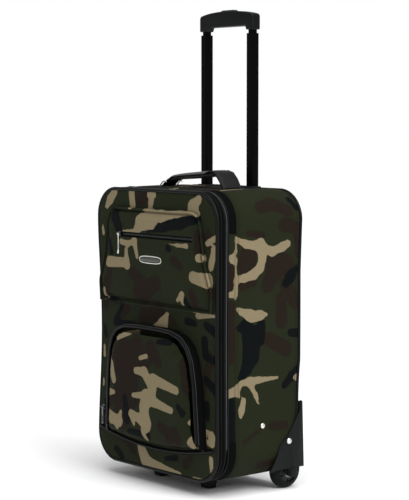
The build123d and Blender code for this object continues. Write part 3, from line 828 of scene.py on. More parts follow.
# %% Flat panels with a grid
def flat_panel(name, corners, y, step=6.0, body_depth=0.0, layers=1):
    """A panel through corners (x, z, rounding) in mm at depth y, cut by a grid, made body_depth thick to the front."""
    deselect()
    bpy.ops.mesh.primitive_circle_add(vertices=len(corners), radius=1, fill_type="NGON",
                                      location=(0, 0, 0), rotation=(math.pi / 2, 0, 0))
    piece = name_new(name)
    places = sorted(piece.data.vertices, key=lambda v: -math.atan2(v.co.x, v.co.z))
    corners = sorted(corners, key=lambda c: -math.atan2(c[0] - middle_of(corners)[0], c[1] - middle_of(corners)[1]))
    for vertex, (x, z, _) in zip(places, corners):
        vertex.co = (x * MM, y * MM, z * MM)
    for x, z, rounding in corners:
        if rounding:
            pick(piece, lambda p, n: abs(p.x - x) < 0.1 and abs(p.z - z) < 0.1, "VERT")
            bpy.ops.mesh.bevel(offset=rounding * MM, offset_type="OFFSET", segments=10, profile=0.5, affect="VERTICES")
    low = [min(c[i] for c in corners) for i in (0, 1)]
    high = [max(c[i] for c in corners) for i in (0, 1)]
    select_all(piece)
    for axis, start, end in ((0, low[0], high[0]), (2, low[1], high[1])):
        count = max(2, round((end - start) / step))
        for i in range(1, count):
            place, way = [0, y * MM, 0], [0, 0, 0]
            place[axis], way[axis] = (start + (end - start) * i / count) * MM, 1
            bpy.ops.mesh.select_all(action="SELECT")
            bpy.ops.mesh.bisect(plane_co=place, plane_no=way)
    if body_depth:
        select_all(piece, "FACE")
        for _ in range(layers):
            bpy.ops.mesh.extrude_region_move(TRANSFORM_OT_translate={"value": (0, -body_depth / layers * MM, 0)})
    face_out(piece)
    return piece


def middle_of(corners):
    """The middle of the corners' box."""
    xs, zs = [c[0] for c in corners], [c[1] for c in corners]
    return (min(xs) + max(xs)) / 2, (min(zs) + max(zs)) / 2


# %% Gusset of the lid
gusset_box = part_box("lid_gusset")
gusset_front, gusset_back = gusset_box[0].y / MM, gusset_box[1].y / MM
gusset = band("lid_side", -0.8, [gusset_front] + depths_between(gusset_front + 1.5, gusset_back - 1.5, 3.0)
              + [gusset_back])
push(gusset, padded_wall(0.5, 0.3, 0.9, seed=8))
modify(gusset, "SOLIDIFY", thickness=2.2 * MM, offset=-1)
smooth(gusset, 50)
finish_piece(gusset, "lid", black_cloth, ["lid_gusset"])

# %% Front panel
panel_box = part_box("lid_panel")
PANEL_Y = panel_box[0].y / MM
PANEL_X = panel_box[1].x / MM
panel_corners = [(sx * PANEL_X, z, 45) for sx in (1, -1) for z in (panel_box[0].z / MM, panel_box[1].z / MM)]
panel = flat_panel("front_panel", panel_corners, PANEL_Y + 2, 6.0, 2.0)


def soft_front(points):
    """The front panel swells a little above the upper pocket and beside the lower one."""
    moved = points.copy()
    front = moved[:, 1] < PANEL_Y + 1
    edge = np.minimum(PANEL_X - np.abs(moved[:, 0]), np.minimum(moved[:, 2] - 31, 503 - moved[:, 2]))
    lift = 1.6 * (1 - np.exp(-np.clip(edge, 0, 60) / 7.0)) + 0.7 * ripple(points, 45, 4)
    moved[:, 1] -= np.where(front, np.clip(lift, 0.0, 2.6), 0)
    return sag(moved)


push(panel, soft_front)
smooth(panel, 50)
print_camouflage(panel)
finish_piece(panel, "lid", camo, ["lid_panel"])

# %% [markdown]
# ## Piping
#
# Piping is a cord in a folded strip of vinyl, sewn into a seam. A poly curve along the seam with a round bevel
# is that shape exactly, and it is turned into a mesh once its path is set. The path goes through the same sag
# as the cloth.


# %% A round cord along a path
def cord_along(name, points, radius, closed=True, sides=4):
    """A tube of this radius (in mm) along a path of points in mm."""
    curve = bpy.data.curves.new(name, "CURVE")
    curve.dimensions = "3D"
    curve.bevel_depth = radius * MM
    curve.bevel_resolution = sides
    curve.use_fill_caps = not closed
    line = curve.splines.new("POLY")
    line.points.add(len(points) - 1)
    for point, place in zip(line.points, points):
        point.co = (*(c * MM for c in place), 1)
    line.use_cyclic_u = closed
    piece = bpy.data.objects.new(name, curve)
    bpy.context.collection.objects.link(piece)
    take(piece)
    bpy.ops.object.convert(target="MESH")
    piece = bpy.context.object
    take(piece)
    bpy.ops.object.shade_smooth()
    return piece


# %% Piping of the front rim and the back rim
front_rim = cord_along("front_piping", outline(-2.0, -84.0), 3.0)
finish_piece(front_rim, "lid", vinyl, ["lid_piping"])
back_rim = cord_along("back_piping_roll", outline(-2.0, 91.0), 3.0)
cut(back_rim, wheel_cutters(36.9, 130.1))
smooth(back_rim, 60)
finish_piece(back_rim, "root", vinyl, ["back_piping"])

for name, y, body, radius in (("zip_piping_lid", -68.6, "lid", 1.3), ("zip_piping_shell", -61.8, "root", 1.3),
                              ("gusset_rib", -76.5, "lid", 0.9)):
    roll = cord_along(name, outline(-1.0, y), radius)
    finish_piece(roll, body, vinyl)

# %% [markdown]
# ## Things repeated along a seam
#
# Zipper teeth and stitches are one small shape, repeated hundreds of times. The shape is modelled once, from a
# cube, and its copies are placed along a path by their place, the path's direction and the way out.


# %% Copies along a path
def spaced(points, pitch, closed=True):
    """Places, directions and ways out at equal spacing along a path in mm."""
    path = np.vstack([points, points[:1]]) if closed else np.asarray(points)
    runs = np.linalg.norm(np.diff(path, axis=0), axis=1)
    along = np.concatenate([[0], np.cumsum(runs)])
    stations = np.arange(pitch / 2, along[-1], pitch)
    spots = np.column_stack([np.interp(stations, along, path[:, i]) for i in range(3)])
    ahead = np.column_stack([np.interp(np.clip(stations + 1, 0, along[-1]), along, path[:, i]) for i in range(3)])
    behind = np.column_stack([np.interp(np.clip(stations - 1, 0, along[-1]), along, path[:, i]) for i in range(3)])
    ways = ahead - behind
    return spots, ways / np.linalg.norm(ways, axis=1, keepdims=True)


def small_block(size, bevel):
    """A rounded block of (along, across, out) in mm, as vertices and faces."""
    deselect()
    bpy.ops.mesh.primitive_cube_add(size=1)
    bpy.context.object.scale = [s * MM for s in size]
    piece = name_new("pattern")
    select_all(piece, "EDGE")
    bpy.ops.mesh.bevel(offset=bevel * MM, segments=1, affect="EDGES")
    deselect()
    points = np.array([v.co[:] for v in piece.data.vertices]) / MM
    faces = [tuple(p.vertices) for p in piece.data.polygons]
    mesh = piece.data
    bpy.data.objects.remove(piece)
    bpy.data.meshes.remove(mesh)
    return points, faces


def repeat_along(name, pattern, spots, ways, outs):
    """One mesh of the pattern's copies: its x along the way, its z out of the surface."""
    points, faces = pattern
    across = np.cross(outs, ways)
    placed = (spots[:, None, :] + points[None, :, 0:1] * ways[:, None, :] + points[None, :, 1:2] * across[:, None, :]
              + points[None, :, 2:3] * outs[:, None, :])
    mesh = bpy.data.meshes.new(name)
    size = len(points)
    all_faces = [tuple(i + k * size for i in face) for k in range(len(spots)) for face in faces]
    mesh.from_pydata((placed.reshape(-1, 3) * MM).tolist(), [], all_faces)
    mesh.update()
    piece = bpy.data.objects.new(name, mesh)
    bpy.context.collection.objects.link(piece)
    face_out(piece)
    return smooth(piece, 50)


def out_of_case(spots):
    """The way out of the case at each spot of the outline."""
    return outward(spots)


FRONT_WAY = np.array([0.0, -1.0, 0.0])

# %% [markdown]
# ## The main zipper
#
# A nylon coil zipper is two woven tapes, each with a coil sewn to its edge. One tape belongs to the lid and
# the other to the shell, so each rides on its own body. The tapes are bands that stop above the hinge, and the
# coils are teeth repeated along the outline.

# %% Tapes and teeth
tooth = small_block((1.35, 1.5, 1.5), 0.35)
for name, node, body, teeth_y in (("shell_zip_tape", "body_zip_tape", "root", -64.65),
                                  ("lid_zip_tape_cloth", "lid_zip_tape", "lid", -65.35)):
    low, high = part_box(node)
    tape = band(name, -1.6, [low.y / MM, (low.y + high.y) / 2 / MM, high.y / MM])
    pick(tape, lambda p, n: p.z < 78)
    bpy.ops.mesh.delete(type="FACE")
    push(tape, sag)
    modify(tape, "SOLIDIFY", thickness=2.0 * MM, offset=-1)
    finish_piece(smooth(tape), body, tape_cloth, [node])
    path = outline(-1.1, teeth_y, 4.0, closed=False, low=80)
    spots, ways = spaced(path, 2.1, closed=False)
    if body == "lid":
        spots = spots + ways * 1.05
    coil = repeat_along(name.replace("tape", "teeth").replace("_cloth", ""), tooth, spots, ways, out_of_case(spots))
    finish_piece(coil, body, coil_finish)

# %% [markdown]
# ## Back, lining and hinge cloth
#
# Behind the back piping lies the back panel. Inside, one lining covers the walls and the back, and another
# covers the lid. They take the place of the flat boards, because the boards' cloth is what shows once the lid
# is open. Along the bottom the lid hangs on a strip of cloth.

# %% Back panel
back_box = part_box("back_panel")
back_corners = [(sx * back_box[1].x / MM, z, 45) for sx in (1, -1) for z in (back_box[0].z / MM, back_box[1].z / MM)]
back = flat_panel("back_cloth", back_corners, back_box[1].y / MM, 8.0, 3.4)


def soft_back(points):
    """The back panel is drawn in along its piping and swells between."""
    moved = points.copy()
    rear = moved[:, 1] > back_box[1].y / MM - 1
    edge = np.minimum(160 - np.abs(moved[:, 0]), np.minimum(moved[:, 2] - 31, 503 - moved[:, 2]))
    lift = 2.2 * (1 - np.exp(-np.clip(edge, 0, 80) / 12.0)) + 0.8 * ripple(points, 55, 7)
    moved[:, 1] += np.where(rear, np.clip(lift, 0, 3.2), 0)
    return sag(moved)


push(back, soft_back)
cut(back, wheel_cutters())
smooth(back, 50)
print_camouflage(back, "back")
finish_piece(back, "root", camo, ["back_panel", "back_board"])

# %% Lining of the shell
lining_depths = [strip_front + 0.3] + depths_between(-60, 66, 9)
lining = band("shell_lining", -5.4, lining_depths, 9.0)
push(lining, lambda points: sag(points + outward(points) * (0.5 * ripple(points, 40, 6) - 0.5)[:, None]))
modify(lining, "SOLIDIFY", thickness=0.8 * MM, offset=-1)
cut(lining, wheel_cutters(37.6, 129.4))
smooth(lining, 50)
finish_piece(lining, "root", lining_cloth, ["side_lining", "shell_frame"])

floor_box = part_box("back_lining")
floor_corners = [(sx * 158.5, z, 44) for sx in (1, -1) for z in (32.5, 501.5)]
lining_back = flat_panel("lining_back", floor_corners, floor_box[1].y / MM, 9.0, 1.0)
push(lining_back, sag)
cut(lining_back, wheel_cutters(37.6, 129.4))
smooth(lining_back, 50)
finish_piece(lining_back, "root", lining_cloth, ["back_lining"])

# %% Lining of the lid
board_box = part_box("lid_board")
lid_corners = [(sx * 159, z, 44) for sx in (1, -1) for z in (32, 502)]
lid_lining = flat_panel("lid_lining", lid_corners, board_box[1].y / MM, 9.0, 1.6)
push(lid_lining, lambda points: sag(points + np.outer(0.35 * ripple(points, 50, 9), (0, 1, 0))))
smooth(lid_lining, 50)
finish_piece(lid_lining, "lid", lining_cloth, ["lid_board"])

# %% Hinge cloth along the bottom
deselect()
bpy.ops.mesh.primitive_plane_add(size=1, location=(0, -65 * MM, (BOTTOM + 1.2) * MM))
bpy.context.object.scale = (236 * MM, 7 * MM, 1)
hinge_cloth = name_new("hinge_cloth")
select_all(hinge_cloth)
for axis, low, high, count in ((0, -118, 118, 30), (1, -68.5, -61.5, 8)):
    for i in range(1, count):
        place, way = [0, 0, 0], [0, 0, 0]
        place[axis], way[axis] = (low + (high - low) * i / count) * MM, 1
        bpy.ops.mesh.select_all(action="SELECT")
        bpy.ops.mesh.bisect(plane_co=place, plane_no=way)
modify(hinge_cloth, "SOLIDIFY", thickness=0.8 * MM, offset=1)
smooth(face_out(hinge_cloth))
hinge_cloth.data.materials.append(black_cloth)
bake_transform(hinge_cloth)

# %% [markdown]
# ## Padded pockets
#
# A padded pocket is a slab of foam-backed cloth that swells between its seams. The slab is remeshed into small
# even faces, a cloth simulation blows it up a little, and each vertex is held within a few millimetres of its
# start.


def ordered(corners):
    """Corners in order round their middle, as (x, z)."""
    mx, mz = middle_of(corners)
    return [(c[0], c[1]) for c in sorted(corners, key=lambda c: -math.atan2(c[0] - mx, c[1] - mz))]


def inflate(piece, voxel=4.5, pressure=4.0, most=6.0):
    """Remeshes a slab and blows it up with the cloth simulation, no vertex moving further than most (in mm)."""
    modify(piece, "REMESH", mode="VOXEL", voxel_size=voxel * MM)
    start = np.empty(len(piece.data.vertices) * 3)
    piece.data.vertices.foreach_get("co", start)
    start = start.reshape(-1, 3)
    take(piece)
    cloth = piece.modifiers.new("Cloth", "CLOTH")
    cloth.settings.use_pressure = True
    cloth.settings.uniform_pressure_force = pressure
    cloth.settings.effector_weights.gravity = 0
    for number in range(1, 21):
        bpy.context.scene.frame_set(number)
    bpy.ops.object.modifier_apply(modifier="Cloth")
    bpy.context.scene.frame_set(1)

    def hold(points):
        step = points - start / MM
        length = np.linalg.norm(step, axis=1, keepdims=True)
        return start / MM + step * np.minimum(1, most / np.maximum(length, 1e-6))

    push(piece, hold)
    modify(piece, "SUBSURF", levels=1, render_levels=1)
    return piece


def fit_depth(piece, front, back):
    """Stretches the piece's depth so that it runs from front to back (in mm)."""
    def rule(points):
        moved = points.copy()
        low, high = moved[:, 1].min(), moved[:, 1].max()
        moved[:, 1] = front + (moved[:, 1] - low) * (back - front) / (high - low)
        return moved
    return push(piece, rule)


# %% Upper pocket
upper_low, upper_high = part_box("upper_pocket")
UPPER_FRONT = upper_low.y / MM
upper_corners = [(127, 474, 22), (137, 395, 0), (157, 345, 0), (157, 311, 3),
                 (-157, 311, 3), (-157, 345, 0), (-137, 395, 0), (-127, 474, 22)]
upper = flat_panel("upper_pocket_cloth", [(x * 0.99, 392 + (z - 392) * 0.985, r) for x, z, r in upper_corners],
                   PANEL_Y - 1.5, 12.0, 5.0, 1)
inflate(upper, 4.0, 4.0, 4.5)
fit_depth(upper, UPPER_FRONT - 1.6, PANEL_Y + 1.5)
push(upper, sag)
slit_low, slit_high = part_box("upper_zip_tape")
SLIT = (slit_low.x / MM, slit_high.x / MM, slit_low.z / MM, slit_high.z / MM)
cut(upper, [cutter_box((SLIT[0], UPPER_FRONT - 8, SLIT[2]), (SLIT[1], UPPER_FRONT + 3.6, SLIT[3])),
            cutter_box((SLIT[0] - 11, UPPER_FRONT - 8, SLIT[2] + 0.1), (SLIT[0] + 1, UPPER_FRONT + 3.2, SLIT[3] - 0.1))])
smooth(upper, 50)
print_camouflage(upper)
finish_piece(upper, "lid", camo, ["upper_pocket"])

# %% Its piping and the lip at its foot
rim_path = [(-156, 312), (-157, 345), (-137, 395), (-128, 452), (-121, 467), (-108, 473), (108, 473), (121, 467),
            (128, 452), (137, 395), (157, 345), (156, 312)]


def dense(path, step=4.0):
    """The path's points at about equal steps."""
    made = [path[0]]
    for first, last in zip(path, path[1:]):
        count = max(1, round(math.dist(first, last) / step))
        made += [tuple(a + (b - a) * i / count for a, b in zip(first, last)) for i in range(1, count + 1)]
    return made


def rounded(path, times=4):
    """The path with its corners cut and cut again, the ends kept."""
    points = [np.array(p, float) for p in path]
    for _ in range(times):
        inner = []
        for first, last in zip(points, points[1:]):
            inner += [first * 0.75 + last * 0.25, first * 0.25 + last * 0.75]
        points = [points[0]] + inner[1:-1] + [points[-1]]
    return [tuple(p) for p in points]


def on_front(path, y):
    """Front-view points (x, z) as 3-D points at depth y."""
    return np.array([(x, y, z) for x, z in path])


upper_rim = cord_along("upper_pocket_piping", sag(on_front(rounded(dense(rim_path, 12), 2), UPPER_FRONT + 2.2)), 2.0,
                       closed=False)
print_camouflage(upper_rim)
finish_piece(upper_rim, "lid", camo)
lip_path = on_front([(x, 311.2 - 1.6 * math.cos(x / 157 * math.pi / 2)) for x in range(-156, 157, 4)], UPPER_FRONT + 1.0)
lip = cord_along("upper_pocket_hem", sag(lip_path), 1.7, closed=False)
print_camouflage(lip)
finish_piece(lip, "lid", camo)

# %% Zipper of the upper pocket
deselect()
bpy.ops.mesh.primitive_cube_add(size=1, location=((SLIT[0] + SLIT[1]) / 2 * MM, (UPPER_FRONT + 3.4) * MM, 0.429))
bpy.context.object.scale = ((SLIT[1] - SLIT[0]) * MM, 0.9 * MM, (SLIT[3] - SLIT[2] + 0.6) * MM)
upper_tape = name_new("upper_zip_cloth")
select_all(upper_tape, "EDGE")
bpy.ops.mesh.bevel(offset=0.25 * MM, segments=2, affect="EDGES")
finish_piece(smooth(upper_tape), "lid", tape_cloth, ["upper_zip_tape"])
for number, z in enumerate((SLIT[3] + 1.2, SLIT[2] - 1.2)):
    cord_piece = cord_along(f"upper_zip_welt_{number + 1}", on_front([(SLIT[0] - 8, z), (SLIT[0] + 60, z), (SLIT[1] + 1, z)],
                                                               UPPER_FRONT + 0.4), 1.3, closed=False)
    finish_piece(cord_piece, "lid", black_cloth)
for number, (rise, shift) in enumerate(((0.75, 0.0), (-0.75, 1.0))):
    path = on_front([(SLIT[0] + 2 + shift, 429 + rise), (SLIT[1] - 2, 429 + rise)], UPPER_FRONT + 3.0)
    spots, ways = spaced(path, 2.0, closed=False)
    coil = repeat_along(f"upper_zip_teeth_{number + 1}", tooth, spots, ways, np.tile(FRONT_WAY, (len(spots), 1)))
    finish_piece(coil, "lid", coil_finish)

# %% Curved piped seam below the pocket
smile_low, smile_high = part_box("bottom_seam_piping")
SMILE_R, SMILE_Z = 680.0, smile_low.z / MM


def smile_at(x):
    """The height of the curved seam's middle line at x."""
    return SMILE_Z + 2 + SMILE_R - 2 - np.sqrt((SMILE_R - 2) ** 2 - np.clip(x, -160, 160) ** 2)


smile_path = [(x, float(smile_at(x))) for x in range(-156, 157, 4)]
smile = cord_along("curved_seam_piping", sag(on_front(smile_path, smile_high.y / MM - 1.8)), 2.2, closed=False)
finish_piece(smile, "lid", vinyl, ["bottom_seam_piping"])

# Below the curved seam lies a camouflage welt. The black cord above it is painted shadow: a dark cord laid where the
# seam's shade falls.
for name, drop, radius in (("curved_seam_welt", -3.4, 1.5), ("curved_seam_painted_shadow", 3.2, 1.8)):
    path = [(x, float(smile_at(x)) + drop) for x in range(-152, 153, 4)]
    cord_piece = cord_along(name, sag(on_front(path, smile_high.y / MM - 0.9)), radius, closed=False)
    print_camouflage(cord_piece)
    finish_piece(cord_piece, "lid", camo if drop < 0 else black_cloth)

# %% Lower pocket face, from the curved seam up
face_low, face_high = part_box("pocket_face")
FACE_FRONT, FACE_BACK = face_low.y / MM, face_high.y / MM
POCKET_SIDE = [(112, 274), (130, 190), (139, 90)]


def lean(points):
    """Draws the pocket's front edge in from its foot, most on the left."""
    moved = points.copy()
    out = np.clip((PANEL_Y - moved[:, 1]) / 18, 0, 1.3)
    reach = np.clip(np.abs(moved[:, 0]) / 128, 0, 1.1) ** 3
    left = moved[:, 0] < 0
    moved[:, 0] -= np.sign(moved[:, 0]) * np.where(left, 13.0, 2.0) * out * reach
    moved[:, 1] += np.where(left, 3.5, 0.5) * out * reach
    return moved


pocket_corners = ([(x - 2, z - 2, r) for (x, z), r in zip(POCKET_SIDE[:2], (54, 0))]
                  + [(x, float(smile_at(x)) + 1.5, 0) for x in range(136, -137, -17)]
                  + [(2 - x, z - 2, r) for (x, z), r in zip(POCKET_SIDE[1::-1], (0, 54))])
pocket_sides = ordered(pocket_corners)


def round_foot(points, back):
    """Brings a slab's lower part back to the panel in a curve, down to the curved seam."""
    moved = points.copy()
    rise = np.clip((moved[:, 2] - smile_at(moved[:, 0])) / 27, 0, 1)
    share = np.sin(rise * math.pi / 2) ** 0.8
    foot = PANEL_Y - 2.2
    moved[:, 1] = np.where(rise < 1, foot + (moved[:, 1] - foot) * share, moved[:, 1])
    return moved


pocket = flat_panel("pocket_cloth", [(x * 0.985, 170 + (z - 170) * 0.985, r) for x, z, r in pocket_corners],
                    FACE_BACK + 1.0, 12.0, 5.0, 1)
inflate(pocket, 4.0, 4.0, 8.0)
fit_depth(pocket, FACE_FRONT - 3.4, FACE_BACK + 1.0)
push(pocket, lambda points: lean(round_foot(points, FACE_BACK)))
smooth(pocket, 50)
print_camouflage(pocket)
pocket.data.materials.append(camo)
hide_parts("pocket_face")
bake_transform(pocket)
print(f"{pocket.name}: {len(pocket.data.polygons)} faces, bends between the lid and the pocket flap")

# %% Its zipper and black gusset
half_path = [(139, 84), (130, 190), (122, 228), (110, 250), (92, 265), (66, 273), (30, 275)]
pocket_path = [(-x, z) for x, z in half_path] + half_path[::-1]
smooth_pocket = rounded(dense(pocket_path, 10), 2)
gusset_low, gusset_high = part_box("pocket_gusset")


def wall_from(name, path, y0, y1, step, thickness):
    """A cloth wall along a front-view path, from depth y0 back to y1."""
    base = cord_along(name, on_front(path, y0), 0.0, closed=False)
    draw_back(base, depths_between(y0, y1, step))
    modify(base, "SOLIDIFY", thickness=thickness * MM, offset=0)
    return face_out(base)


def swell_wall(points, amount, seed):
    """Swells a pocket's wall outwards between its seams."""
    y = points[:, 1]
    t = (y - y.min()) / (y.max() - y.min())
    way = points - np.array((0, 0, 150.0))
    way[:, 1] = 0
    way /= np.linalg.norm(way, axis=1, keepdims=True)
    return points + way * (amount * 4 * t * (1 - t) + 0.4 * ripple(points, 25, seed))[:, None]


pocket_side = wall_from("pocket_side", smooth_pocket, gusset_low.y / MM, gusset_high.y / MM + 0.4, 2.2, 2.0)
push(pocket_side, lambda points: lean(swell_wall(points, 0.9, 3)))
finish_piece(smooth(pocket_side, 50), "lid", black_cloth, ["pocket_gusset"])
pocket_floor = flat_panel("pocket_floor", [(138, 88, 0), (138, 90.0, 0), (-138, 90.0, 0), (-138, 88, 0)],
                          gusset_high.y / MM, 14, 15.0, 5)
push(pocket_floor, lean)
finish_piece(smooth(pocket_floor), "lid", black_cloth)
zip_low, zip_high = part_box("pocket_zip_tape")
above_hinge = [(x, z) for x, z in smooth_pocket if z > 92]
pocket_tape = wall_from("pocket_zip_cloth", above_hinge, FACE_BACK - 0.4, zip_high.y / MM, 0.9, 2.2)
push(pocket_tape, lean)
finish_piece(smooth(pocket_tape, 50), "pocket_flap", tape_cloth, ["pocket_zip_tape"])


def out_of_pocket(spots):
    """The way out of the pocket's wall at each spot."""
    way = spots - np.array((0, 0, 140.0))
    way[:, 1] = 0
    return way / np.linalg.norm(way, axis=1, keepdims=True)


spots, ways = spaced(lean(on_front(above_hinge, zip_high.y / MM - 0.5)), 2.1, closed=False)
outs = out_of_pocket(spots)
outs = outs - ways * np.sum(outs * ways, axis=1, keepdims=True)
outs /= np.linalg.norm(outs, axis=1, keepdims=True)
pocket_teeth = repeat_along("pocket_zip_teeth", tooth, spots + outs * 1.0, ways, outs)
finish_piece(pocket_teeth, "pocket_flap", coil_finish)
edge_path = lean(on_front([(x * 0.985, 178 + (z - 178) * 0.985) for x, z in above_hinge], FACE_BACK - 1.6))
pocket_rim = cord_along("pocket_edge_piping", edge_path, 2.7, closed=False)
finish_piece(pocket_rim, "pocket_flap", vinyl)
for number, side in enumerate((-1, 1)):
    foot = round_foot(on_front([(side * x, z) for x, z in dense([(136, 93), (138, 82)], 1.5)], FACE_BACK - 1.6), 0)
    stub = cord_along(f"pocket_foot_piping_{number + 1}", lean(foot), 2.7, closed=False)
    finish_piece(stub, "lid", vinyl)

# %% [markdown]
# ## Carry handle
#
# The handle is a padded bar of grained vinyl with bound edges. Its right end widens into a flap that folds down
# to the case, and its left end hangs on a narrower strap with a metal loop. Each is a bar with stations along
# its middle line: every station says where it is, how wide and how thick the bar is there.


# %% Bars along a line of stations
def bar(name, stations, centre_y, round_by=0.35, step=3.0):
    """A soft bar through stations (x, z, width, thickness) in mm, bevelled round and subdivided."""
    fine = []
    for first, last in zip(stations, stations[1:]):
        count = max(1, round(math.dist(first[:2], last[:2]) / step))
        fine += [tuple(a + (b - a) * i / count for a, b in zip(first, last)) for i in range(count)]
    fine = np.array(fine + [stations[-1]], float)
    for _ in range(3):
        fine[1:-1] = (fine[:-2] + 2 * fine[1:-1] + fine[2:]) / 4
    deselect()
    bpy.ops.mesh.primitive_cube_add(size=1)
    piece = name_new(name)
    last = len(fine) - 1
    select_all(piece)
    for i in range(1, last):
        bpy.ops.mesh.select_all(action="SELECT")
        bpy.ops.mesh.bisect(plane_co=(i / last - 0.5, 0, 0), plane_no=(1, 0, 0))
    for i in range(1, 6):
        bpy.ops.mesh.select_all(action="SELECT")
        bpy.ops.mesh.bisect(plane_co=(0, i / 6 - 0.5, 0), plane_no=(0, 1, 0))
    deselect()
    ways = np.gradient(fine[:, :2], axis=0)
    ways /= np.linalg.norm(ways, axis=1, keepdims=True)

    def rule(points):
        unit = points * MM
        index = np.clip(np.rint((unit[:, 0] + 0.5) * last).astype(int), 0, last)
        station, way = fine[index], ways[index]
        side, out = unit[:, 1], unit[:, 2]
        plump = 1 - round_by * (np.abs(side) * 2) ** 3
        rise = out * station[:, 3] * plump
        return np.column_stack([station[:, 0] - way[:, 1] * rise, centre_y + side * station[:, 2],
                                station[:, 1] + way[:, 0] * rise])

    push(piece, rule)
    face_out(piece)
    modify(piece, "SUBSURF", levels=2, render_levels=2)
    return smooth(piece, 60)


def edge_line(stations, centre_y, side, lift=0.0):
    """The line along one long edge of a bar."""
    fine = dense([(x, z, w) for x, z, w, t in stations], 4)
    return np.array([(x, centre_y + side * w / 2, z + lift) for x, z, w in fine])


HANDLE_Y = 9.0
pad_stations = [(-66, 521, 26, 7), (-56, 525.5, 32, 9), (-30, 528, 34, 11), (10, 531, 34, 12), (40, 533.5, 34, 11),
                (58, 535, 36, 10)]
pad = bar("carry_pad", pad_stations, HANDLE_Y)
# The pad's pale grey is painted light from above.
finish_piece(pad, "root", painted_light_vinyl, ["carry_grip"])
flap_stations = [(42, 535.5, 37, 4), (56, 538.5, 39, 5), (68, 535.5, 40, 6), (79, 525, 40, 6.5), (86, 515, 39, 6),
                 (89, 508.6, 38, 6)]
flap = bar("carry_flap", flap_stations, HANDLE_Y, 0.25)
finish_piece(flap, "root", leather, ["carry_strap_right"])
for number, side in enumerate((-1, 1)):
    binding = cord_along(f"flap_binding_{number + 1}", edge_line(flap_stations, HANDLE_Y, side), 1.7, closed=False)
    finish_piece(binding, "root", vinyl)
    binding = cord_along(f"pad_binding_{number + 1}", edge_line(pad_stations, HANDLE_Y, side), 1.5, closed=False)
    finish_piece(binding, "root", vinyl)
strap_stations = [(-60, 525, 27, 5), (-70, 520.5, 28, 5), (-80, 513.5, 29, 4.5), (-86, 508.6, 30, 4)]
strap = bar("carry_strap", strap_stations, HANDLE_Y, 0.2)
finish_piece(strap, "root", leather, ["carry_strap_left"])

# %% Metal loop of the left strap
loop_path = rounded([(-68, -8, 516), (-68, -10, 519), (-76, -10, 518), (-84, -10, 510), (-86, -10, 508.4),
                     (-86, 28, 508.4), (-84, 28, 510), (-76, 28, 518), (-68, 28, 519), (-68, 26, 516)], 2)
loop = cord_along("strap_loop", np.array(loop_path), 1.1, closed=False)
finish_piece(loop, "root", bright)

# %% [markdown]
# ## Rounded copies of rigid parts
#
# Moulded parts never have knife edges. Where the CAD shape is right but its edges are sharp, a copy of its mesh
# is merged, its flat areas are joined, and a small bevel rounds the sharp edges. The CAD mesh itself stays as
# it is, hidden.


# %% Copy, merge and bevel
def rounded_copy(node_name, name, width, segments=2, angle=32):
    """A copy of a CAD node with its sharp edges rounded by width (in mm)."""
    source = frame["nodes"][node_name]
    mesh = source.data.copy()
    piece = bpy.data.objects.new(name, mesh)
    bpy.context.collection.objects.link(piece)
    piece.matrix_world = source.matrix_world.copy()
    take(piece)
    bpy.ops.object.transform_apply(location=True, rotation=True, scale=True)
    select_all(piece)
    bpy.ops.mesh.remove_doubles(threshold=0.000005)
    bpy.ops.mesh.dissolve_limited(angle_limit=math.radians(1.0))
    deselect()
    modify(piece, "BEVEL", width=width * MM, segments=segments, limit_method="ANGLE",
           angle_limit=math.radians(angle), use_clamp_overlap=True)
    return smooth(piece, 35)


def tuck_under(points):
    """Draws the housing's back plate in towards its lower end."""
    moved = points.copy()
    low = np.clip((95 - moved[:, 2]) / 40, 0, 1)
    behind = np.clip((moved[:, 1] - 94.5) / 7.5, 0, 1)
    moved[:, 1] -= np.where(moved[:, 2] > 53.5, (3.6 + 3.0 * low) * behind, 0)
    return moved


for side in ("right", "left"):
    housing = rounded_copy(f"wheel_housing_{side}", f"housing_{side}", 0.7)
    push(housing, tuck_under)
    finish_piece(housing, "root", moulded, [f"wheel_housing_{side}"])
    hub = rounded_copy(f"hub_{side}", f"hub_{side}_moulded", 0.5)
    finish_piece(hub, f"wheel_{side}", hub_finish, [f"hub_{side}"])
for node_name, name, width, body, slot_name in (
        ("handle_bezel", "bezel", 0.5, "root", "black_plastic"),
        ("front_feet", "feet", 0.5, "root", "foot_plastic"),
        ("upper_slider", "upper_slider_body", 0.35, "top_runner", "bright_metal"),
        ("pocket_slider", "pocket_slider_body", 0.35, "lid", "bright_metal"),
        ("main_slider", "main_slider_body", 0.35, "main_runner", "bright_metal"),
        ("pocket_pull", "pocket_pull_tab", 0.3, "pocket_tab", "bright_metal"),
        ("main_pull", "main_pull_tab", 0.3, "main_tab", "bright_metal")):
    made = rounded_copy(node_name, name, width)
    finish_piece(made, body, FINISH_OF[slot_name], [node_name])

# %% Round parts spun about X
def turned(name, profile, centre, steps=32):
    """A round part spun about X from a profile of (radius, distance out) in mm, out along +X from its centre."""
    deselect()
    bpy.ops.mesh.primitive_circle_add(vertices=3, radius=MM)
    piece = name_new(name)
    mesh = piece.data
    mesh.clear_geometry()
    mesh.from_pydata([((centre[0] + out) * MM, centre[1] * MM, (centre[2] + radius) * MM) for radius, out in profile],
                     [(i, i + 1) for i in range(len(profile) - 1)], [])
    select_all(piece)
    bpy.ops.mesh.spin(steps=steps, angle=2 * math.pi, center=[c * MM for c in centre], axis=(1, 0, 0))
    return smooth(face_out(piece), 40)


def mirror_piece(piece):
    """Turns a right-hand piece into its left-hand twin."""
    push(piece, lambda points: points * np.array((-1.0, 1.0, 1.0)))
    select_all(piece)
    bpy.ops.mesh.flip_normals()
    deselect()


